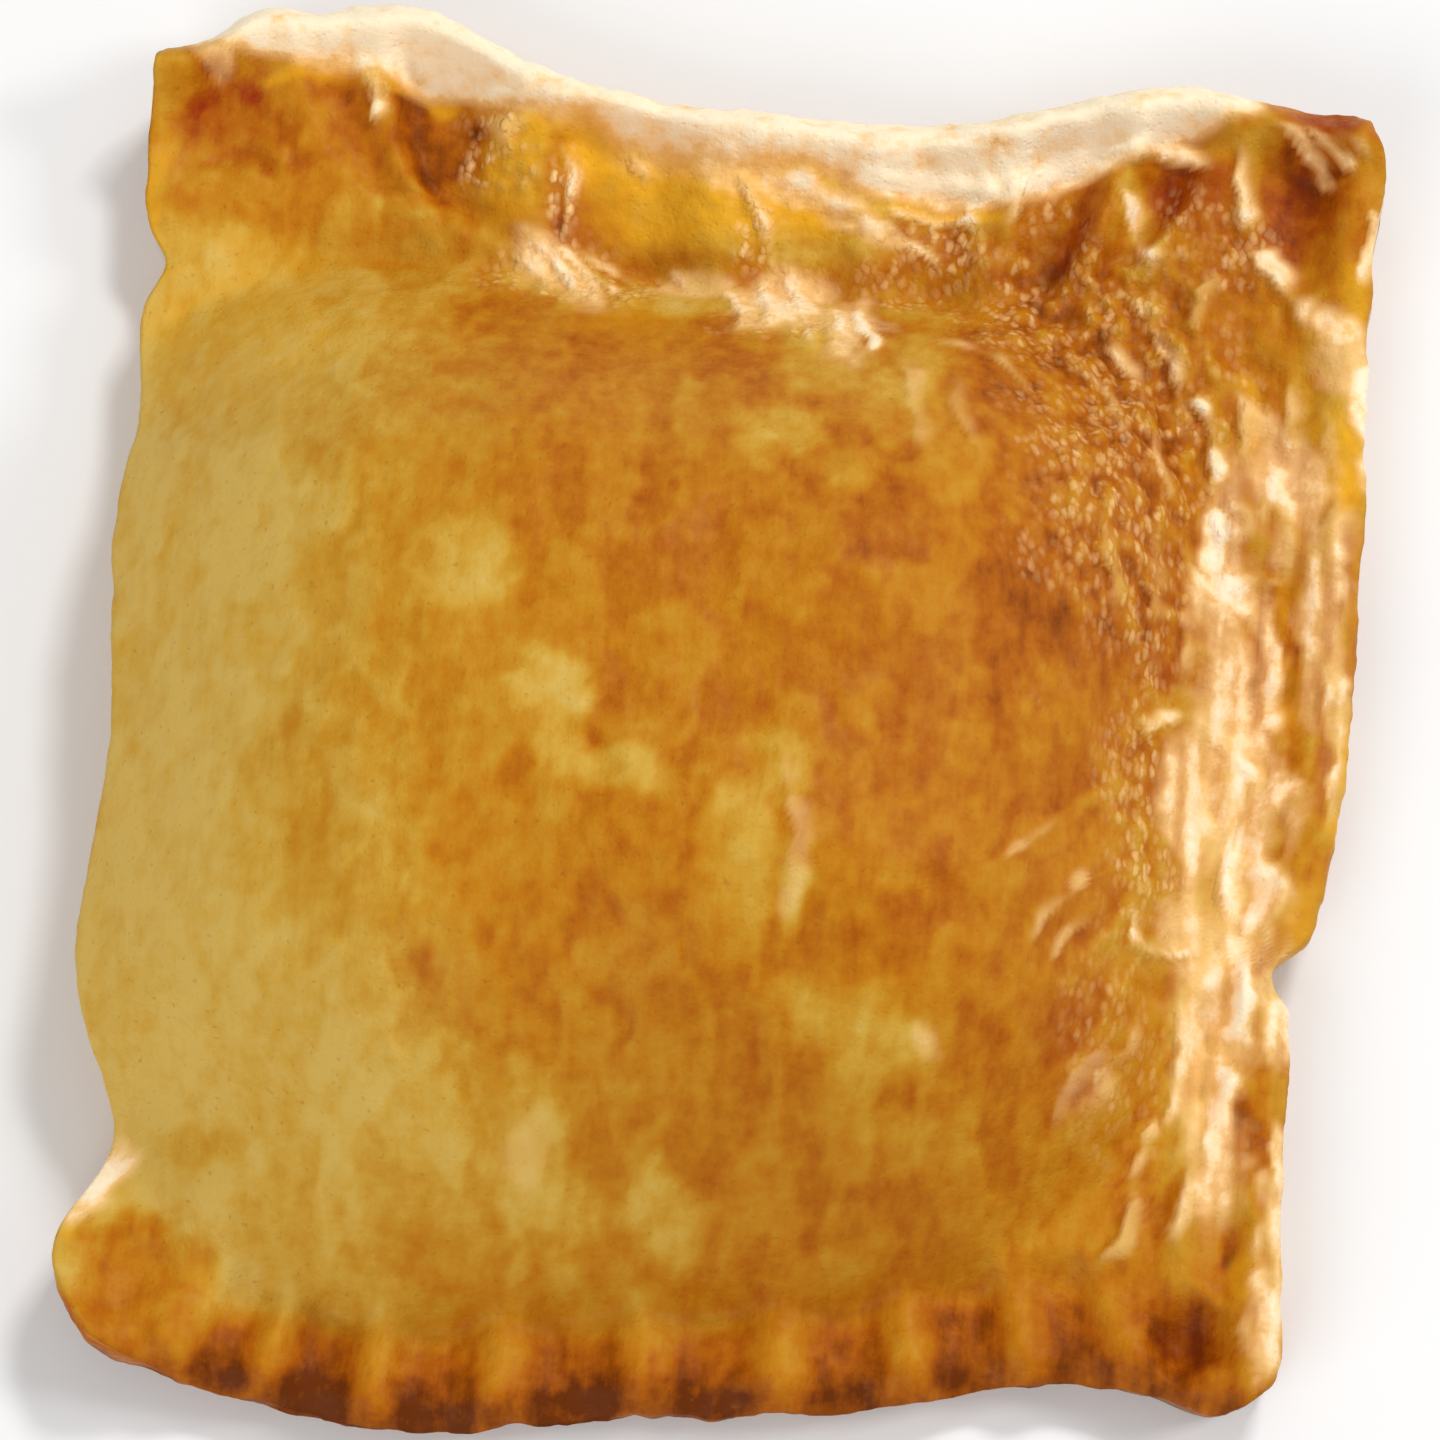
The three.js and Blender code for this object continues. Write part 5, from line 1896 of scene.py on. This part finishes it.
@dataclass(frozen=True)
class UndersideCrust:
    """The finish of the base: dry pastry browned on a hot tray, palest where it curls up."""

    pale: Triple = (0.62, 0.38, 0.13)
    brown: Triple = (0.34, 0.12, 0.02)
    speck: Triple = (0.16, 0.045, 0.01)
    roughness: float = 0.68
    scale: float = 0.7
    mottle: float = 1.6
    speck_share: float = 0.6
    rough_mottle: float = 0.5
    mottle_rise: float = 0.4
    pore_rise: float = 0.15

    def material(self) -> bpy.types.Material:
        """Builds the finish.

        Returns:
            The material.
        """
        material = bpy.data.materials.new("underside_crust")
        material.use_nodes = True
        tree = material.node_tree
        shader = tree.nodes["Principled BSDF"]
        bake = socket(tree, "ShaderNodeAttribute", attribute_name="bake").outputs["Fac"]
        uneven = OvenMottle.place(tree, self.scale / MM)
        mottle = math_node(tree, "SUBTRACT", uneven.outputs["Mottle"], NOISE_MIDDLE)
        level = math_node(tree, "MULTIPLY", mottle, self.mottle)
        level = math_node(tree, "ADD", level, bake, clamp=True)
        colour = mix_colours(tree, level, self.pale, self.brown)
        speck = math_node(tree, "MULTIPLY", uneven.outputs["Specks"], self.speck_share)
        colour = mix_colours(tree, speck, colour, self.speck)
        tree.links.new(colour, shader.inputs["Base Color"])
        rough = math_node(tree, "MULTIPLY", mottle, self.rough_mottle)
        tree.links.new(math_node(tree, "ADD", rough, self.roughness), shader.inputs["Roughness"])
        height = math_node(tree, "MULTIPLY", uneven.outputs["Mottle"], self.mottle_rise)
        pore = math_node(tree, "MULTIPLY", uneven.outputs["Pores"], self.pore_rise)
        bump = socket(tree, "ShaderNodeBump", Strength=1.0, Distance=MM)
        tree.links.new(math_node(tree, "SUBTRACT", height, pore), bump.inputs["Height"])
        tree.links.new(bump.outputs[0], shader.inputs["Normal"])
        return material


@dataclass
class PieCrust:
    """The whole crust: its closed mesh, its masks of baking, and its two finishes."""

    form: CrustForm = field(default_factory=CrustForm)
    relief: BakedRelief = field(default_factory=BakedRelief)
    colours: BakedColours = field(default_factory=BakedColours)
    glaze: GlazedCrust = field(default_factory=GlazedCrust)
    underside: UndersideCrust = field(default_factory=UndersideCrust)
    cells: int = 280
    edge_rings: int = 12
    base_reaches: tuple[float, ...] = (0.96, 0.8, 0.4)
    straightness: float = 0.6
    most_straight: float = 2.5
    press_calm: float = 0.35
    press_fade: Pair = (0.2, 1.0)
    press_detail: float = 0.35
    ragged_from: float = 0.93
    fold_smoothness: float = 0.45
    # Painted highlight: more cream where the crust stands out, less in hollows
    crest_highlight: float = 1.6
    crest_highlight_limits: Pair = (0.6, 1.15)
    cut_edge_inset: float = 0.7
    fold_inset: float = 4.2
    layer_waves: Unevenness = Unevenness(0.5, 7, 1, seed=8)
    layer_count: int = 5
    layer_flakes: Unevenness = Unevenness(0.16, 2.1, 2.1, seed=9)
    flake_shift: float = 20.37
    layers_fade: Pair = (0.1, 0.35)
    front_layers: float = 0.25
    front_layers_fade: Pair = (-30, -22)
    # The cut edge darkens towards the front: partly baking, partly painted shade under the rim
    cut_bake_and_shade: Pair = (0.62, 0.95)
    cut_bake_fade: Pair = (-32, -27)
    fold_bake: float = 0.4
    edge_bake_fade: Pair = (0.0, 0.7)
    edge_fade: Pair = (0.1, 0.6)
    edge_cream: float = 0.75
    edge_dryness: Unevenness = Unevenness(0.4, 1.6, 1.6, seed=63, octaves=2)
    dryness_shift: float = 4.0
    base_flatness: Pair = (0.7, 1)
    base_bake: Pair = (0.35, 0.75)
    base_bake_fade: Pair = (0.6, 1.0)
    middle_bake: float = 0.7

    def roundings(self, sides: Array, low: Array) -> Array:
        """Gives the corner rounding for places of the drawing square.

        Args:
            sides: each place's side, as its number.
            low: whether the nearer corner is the side's lower one.

        Returns:
            Roundings as shares of half the pie.
        """
        rounding = np.zeros(sides.shape)
        for number, name in enumerate(SideName):
            lower, upper = CORNER_ROUNDINGS[name]
            rounding = np.where(sides == number, np.where(low, lower, upper), rounding)
        return rounding

    def rounded_square(self, sides: Array, share: Array, reach: Array) -> tuple[Array, Array]:
        """Places points on the rings of the rounded drawing square.

        Args:
            sides: each point's side, as its number.
            share: its place along the side, from -1 to 1.
            reach: its ring, from 0 in the middle to 1 at the edge.

        Returns:
            The points across and along the square.
        """
        rounding = self.roundings(sides, share < 0)
        past = np.maximum(0, np.abs(share) - 1 + rounding) / rounding
        turn = past * math.pi / 4
        flat = np.minimum(np.abs(share), 1 - rounding)
        sideways = np.sign(share) * (flat + rounding * np.sin(turn)) * reach
        outward = (1 - rounding + rounding * np.cos(turn)) * reach
        names = list(SideName)
        right, left, back = (sides == names.index(n) for n in (SideName.RIGHT, SideName.LEFT, SideName.BACK))
        upright = right | left
        sign = np.where(right | back, 1, -1)
        return np.where(upright, sign * outward, sideways), np.where(upright, sideways, sign * outward)

    def stop_of(self, along: Array, reach: Array) -> Array:
        """Finds where along the edge the line through each point ends.

        Args:
            along: the points' places along their sides, from -reach to reach.
            reach: their rings.

        Returns:
            Places from -1 to 1.
        """
        inner = np.minimum(reach, NEAR_EDGE)
        straight = np.minimum(self.most_straight, self.straightness * inner / (1 - inner))
        size = np.abs(along)
        stop = size / np.maximum(reach, TINY)
        for _ in range(ROUNDING_STEPS):
            stop = size / np.maximum(TINY, 1 - (1 - reach) * np.minimum(stop, 1) ** straight)
        return np.sign(along) * np.clip(stop, 0, 1)

    def add_upper_face(self, skin: Skin) -> None:
        """Adds the upper face as a square grid of points.

        Args:
            skin: the skin to add to.
        """
        line = np.linspace(-1, 1, self.cells + 1)
        square_x, square_y = (a.ravel() for a in np.meshgrid(line, line))
        reach = np.maximum(np.abs(square_x), np.abs(square_y))
        upright = np.abs(square_x) >= np.abs(square_y)
        names = list(SideName)
        across = np.where(square_x > 0, names.index(SideName.RIGHT), names.index(SideName.LEFT))
        along = np.where(square_y > 0, names.index(SideName.BACK), names.index(SideName.FRONT))
        sides = np.where(upright, across, along)
        place = np.where(upright, square_y, square_x)
        x, y = self.form.plan(*self.rounded_square(sides, place / np.maximum(reach, TINY), reach))
        stops = self.stop_of(place, reach)
        edge_x, edge_y = self.form.plan(*self.rounded_square(sides, stops, np.ones_like(reach)))
        pressed = self.form.pressed(x, y, sides, np.where(upright, edge_y, edge_x))
        lift = self.relief.lift(x, y) * (1 - self.press_calm * ease(pressed, *self.press_fade))
        z = self.form.unpressed_height(x, y) - pressed + lift
        smoothed = 1 - self.fold_smoothness * self.form.fold_share(x, y)
        out = self.relief.ragged_edge(x, y) * ease(reach, self.ragged_from, 1) * smoothed
        size = np.hypot(x, y) + TINY
        detail = standing_out(lift - self.press_detail * pressed, self.cells + 1)
        # Cream: pale dry flakes and painted highlights, strongest on what stands out
        cream = np.maximum(self.colours.cream(x, y), self.relief.cream(x, y))
        masks = {
            "bake": self.colours.bake(x, y, self.form, pressed, detail),
            "cream": cream * np.clip(1 + self.crest_highlight * detail, *self.crest_highlight_limits),
            "amber": self.colours.gathered(AMBER_PATCHES, x, y),
            "scorch": self.colours.gathered(SCORCH_PATCHES, x, y),
            "grain": self.colours.grain(x, y, detail),
            "layers": np.zeros_like(x),
        }
        skin.add(np.column_stack([x * (1 + out / size), y * (1 + out / size), z]), **masks)

    def border(self) -> Array:
        """Gives the numbers of the upper face's outer points, in order round it.

        Returns:
            The points' numbers, anticlockwise from the front left corner.
        """
        side = self.cells + 1
        step = np.arange(self.cells)
        front = step
        right = self.cells + step * side
        back = side * side - 1 - step
        left = (self.cells - step) * side
        return np.concatenate([front, right, back, left])

    def add_edge(self, skin: Skin, rim: Array, masks: dict[str, Array]) -> list[int]:
        """Adds rings down the edge, which is cut on three sides and folded on the left.

        Args:
            skin: the skin to add to.
            rim: the upper face's outer points.
            masks: those points' masks.

        Returns:
            The number of each ring's first point.
        """
        x, y, z = rim.T
        fold = self.form.fold_share(x, y)
        curl = self.form.corner_curl(x, y)
        front_layers = mix(self.front_layers, 1, ease(y, *self.front_layers_fade))
        # Darker towards the front: browning and painted shade under the rim
        edge_bake = mix(mix(*self.cut_bake_and_shade, 1 - ease(y, *self.cut_bake_fade)), self.fold_bake, fold)
        firsts = []
        for ring in range(1, self.edge_rings + 1):
            down = ring / self.edge_rings
            waves = self.layer_waves.at(x + y, down * self.layer_count)
            flaky = self.layer_flakes.at(x - y, x + y + self.flake_shift * down)
            cut = self.cut_edge_inset * down + (waves + flaky) * math.sin(math.pi * down)
            inset = mix(cut, self.fold_inset * down * down, fold)
            scale = 1 - inset / np.hypot(x, y)
            points = np.column_stack([x * scale, y * scale, mix(z, curl, down)])
            layers = ease(down, *self.layers_fade) * (1 - fold) * front_layers
            bake = mix(masks["bake"], edge_bake, ease(down, *self.edge_bake_fade))
            ring_masks = {name: values * (1 - ease(down, *self.edge_fade)) for name, values in masks.items()}
            # The cream carries down the edge: pale dry flakes and painted highlight
            dry = self.edge_cream + self.edge_dryness.at(x + y, x - y + self.dryness_shift * down)
            ring_masks["cream"] = ring_masks["cream"] * dry
            firsts.append(skin.add(points, **{**ring_masks, "bake": bake, "layers": layers}))
        return firsts

    def add_base(self, skin: Skin, rim: Array) -> list[int]:
        """Adds rings across the base, which is flat but for its curled corners, and its middle point.

        Args:
            skin: the skin to add to.
            rim: the lowest points of the edge.

        Returns:
            The number of each ring's first point, and last the middle point's.
        """
        firsts = []
        bare = dict.fromkeys(MASKS, 0.0)
        for reach in self.base_reaches:
            points = rim * [reach, reach, ease(reach, *self.base_flatness)]
            brown = mix(*self.base_bake, 1 - ease(reach, *self.base_bake_fade))
            firsts.append(skin.add(points, **{**bare, "bake": brown}))
        firsts.append(skin.add(np.zeros((1, 3)), **{**bare, "bake": self.middle_bake}))
        return firsts

    def faces(self, edge: list[int], base: list[int]) -> tuple[list[tuple[int, ...]], int]:
        """Lists the faces of the closed skin.

        Args:
            edge: the number of each edge ring's first point.
            base: the number of each base ring's first point, and last the middle point's.

        Returns:
            The faces, and how many of them, from the first, aren't on the base.
        """
        side = self.cells + 1
        corner = (np.arange(self.cells)[:, None] * side + np.arange(self.cells)).ravel()
        grid = np.column_stack([corner, corner + 1, corner + side + 1, corner + side])
        border = self.border()
        rings = [border, *(first + np.arange(len(border)) for first in (*edge, *base[:-1]))]
        walls = []
        for upper, lower in zip(rings, rings[1:]):
            walls.append(np.column_stack([upper, lower, np.roll(lower, -1), np.roll(upper, -1)]))
        count = len(grid) + len(border) * len(edge)
        quads = [tuple(face) for face in np.concatenate([grid, *walls]).tolist()]
        last = rings[-1]
        fan = [(int(a), base[-1], int(b)) for a, b in zip(last, np.roll(last, -1))]
        return [*quads, *fan], count

    def build(self) -> bpy.types.Object:
        """Builds the crust's mesh in its place and dresses it.

        Returns:
            The crust.
        """
        skin = Skin()
        self.add_upper_face(skin)
        border = self.border()
        rim = skin.points[0][border]
        rim_masks = {name: values[0][border] for name, values in skin.masks.items()}
        edge = self.add_edge(skin, rim, rim_masks)
        base = self.add_base(skin, skin.points[-1])
        points = np.concatenate(skin.points)
        low, high = points.min(0), points.max(0)
        points = points - [(low[0] + high[0]) / 2, (low[1] + high[1]) / 2, low[2]]
        faces, upper_count = self.faces(edge, base)
        mesh = bpy.data.meshes.new("baked_crust")
        mesh.from_pydata((points * MM).tolist(), [], faces)
        self.fit_to_node(mesh)
        for name, values in skin.masks.items():
            layer = mesh.attributes.new(name, "FLOAT", "POINT")
            layer.data.foreach_set("value", np.concatenate(values).astype(np.float32))
        mesh.materials.append(self.glaze.material())
        mesh.materials.append(self.underside.material())
        numbers = np.zeros(len(faces), np.int32)
        numbers[upper_count:] = 1
        mesh.polygons.foreach_set("material_index", numbers)
        mesh.polygons.foreach_set("use_smooth", np.ones(len(faces), bool))
        mesh.update()
        crust = bpy.data.objects.new("baked_crust", mesh)
        bpy.context.collection.objects.link(crust)
        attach(crust, "root")
        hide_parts(CRUST_NODE)
        return crust

    def fit_to_node(self, mesh: bpy.types.Mesh) -> None:
        """Brings the mesh's box onto the solid's, which differs from it by a share of a millimetre.

        Args:
            mesh: the crust's mesh, in metres.
        """
        low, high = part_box(CRUST_NODE)
        places = np.zeros(len(mesh.vertices) * 3, np.float32)
        mesh.vertices.foreach_get("co", places)
        places = places.reshape(-1, 3)
        own_low, own_high = places.min(0), places.max(0)
        log.info("crust before fitting: %s to %s mm", own_low / MM, own_high / MM)
        middle = (np.array(low) + np.array(high)) / 2 - (own_low + own_high) / 2
        places += np.array([middle[0], middle[1], low[2] - own_low[2]], np.float32)
        mesh.vertices.foreach_set("co", places.ravel())
        shell = bmesh.new()
        shell.from_mesh(mesh)
        bmesh.ops.recalc_face_normals(shell, faces=shell.faces)
        shell.to_mesh(mesh)
        shell.free()


@dataclass(frozen=True)
class SoftLight:
    """A soft rectangular light that faces the pie: its place and size in metres, and its power in watts."""

    name: str
    place: Triple
    power: float
    size: Pair

    def add(self) -> None:
        """Adds the light to the scene."""
        data = bpy.data.lights.new(self.name, "AREA")
        data.shape = "RECTANGLE"
        data.energy = self.power
        data.size, data.size_y = self.size
        light = bpy.data.objects.new(self.name, data)
        light.location = self.place
        light.rotation_euler = (-Vector(self.place)).to_track_quat("-Z", "Y").to_euler()
        bpy.context.collection.objects.link(light)


@dataclass(frozen=True)
class Studio:
    """The pale floor, the soft lights and the camera."""

    target: Triple = (-0.28, -0.51, 6.0)
    azimuth: float = 4.0
    elevation: float = 74.0
    distance: float = 0.42
    pixels_per_mm: float = 19.3
    frame_pixels: int = 1440
    sensor: float = 36.0
    floor_size: float = 6.0
    floor_colour: Triple = (0.9, 0.9, 0.9)
    floor_roughness: float = 0.9
    floor_gloss: float = 0.1
    world_strength: float = 0.385
    lights: tuple[SoftLight, ...] = (
        SoftLight("window", (0.2, 0.38, 0.5), 1.9, (0.16, 0.1)),
        SoftLight("side", (0.5, 0.1, 0.36), 1.1, (0.16, 0.16)),
        SoftLight("fill", (-0.32, -0.5, 0.4), 2.3, (0.5, 0.5)),
    )

    def add_floor(self) -> bpy.types.Object:
        """Adds the floor.

        Returns:
            The floor.
        """
        half = self.floor_size / 2
        mesh = bpy.data.meshes.new("floor")
        corners = [(-half, -half, 0), (half, -half, 0), (half, half, 0), (-half, half, 0)]
        mesh.from_pydata(corners, [], [(0, 1, 2, 3)])
        material = bpy.data.materials.new("floor")
        material.use_nodes = True
        shader = material.node_tree.nodes["Principled BSDF"]
        shader.inputs["Base Color"].default_value = (*self.floor_colour, 1)
        shader.inputs["Roughness"].default_value = self.floor_roughness
        shader.inputs["Specular IOR Level"].default_value = self.floor_gloss
        mesh.materials.append(material)
        floor = bpy.data.objects.new("floor", mesh)
        bpy.context.collection.objects.link(floor)
        return floor

    def add_world(self) -> None:
        """Adds a plain white surround."""
        world = bpy.data.worlds.new("studio")
        world.use_nodes = True
        background = world.node_tree.nodes["Background"]
        background.inputs["Color"].default_value = (1, 1, 1, 1)
        background.inputs["Strength"].default_value = self.world_strength
        bpy.context.scene.world = world

    def add_camera(self) -> None:
        """Adds the camera at the photograph's angle and makes it the scene's."""
        azimuth = math.radians(self.azimuth)
        elevation = math.radians(self.elevation)
        back = Vector(
            (
                math.sin(azimuth) * math.cos(elevation),
                -math.cos(azimuth) * math.cos(elevation),
                math.sin(elevation),
            )
        )
        camera = bpy.data.objects.new("camera", bpy.data.cameras.new("camera"))
        camera.location = Vector(self.target) * MM + back * self.distance
        camera.rotation_euler = (-back).to_track_quat("-Z", "Y").to_euler()
        camera.data.sensor_width = self.sensor
        focal_pixels = self.pixels_per_mm / MM * self.distance
        camera.data.lens = self.sensor * focal_pixels / self.frame_pixels
        bpy.context.collection.objects.link(camera)
        bpy.context.scene.camera = camera

    def build(self) -> None:
        """Adds everything, and shows colours as they are."""
        self.add_floor()
        for light in self.lights:
            light.add()
        self.add_world()
        self.add_camera()
        bpy.context.scene.view_settings.view_transform = "Standard"


def main() -> None:
    """Builds the studio and the crust, and reports each piece."""
    logging.basicConfig(level=logging.INFO, format="%(name)s: %(message)s")
    Studio().build()
    crust = PieCrust().build()
    log.info("%s: %d points, %d faces", crust.name, len(crust.data.vertices), len(crust.data.polygons))


if __name__ == "__main__":
    main()
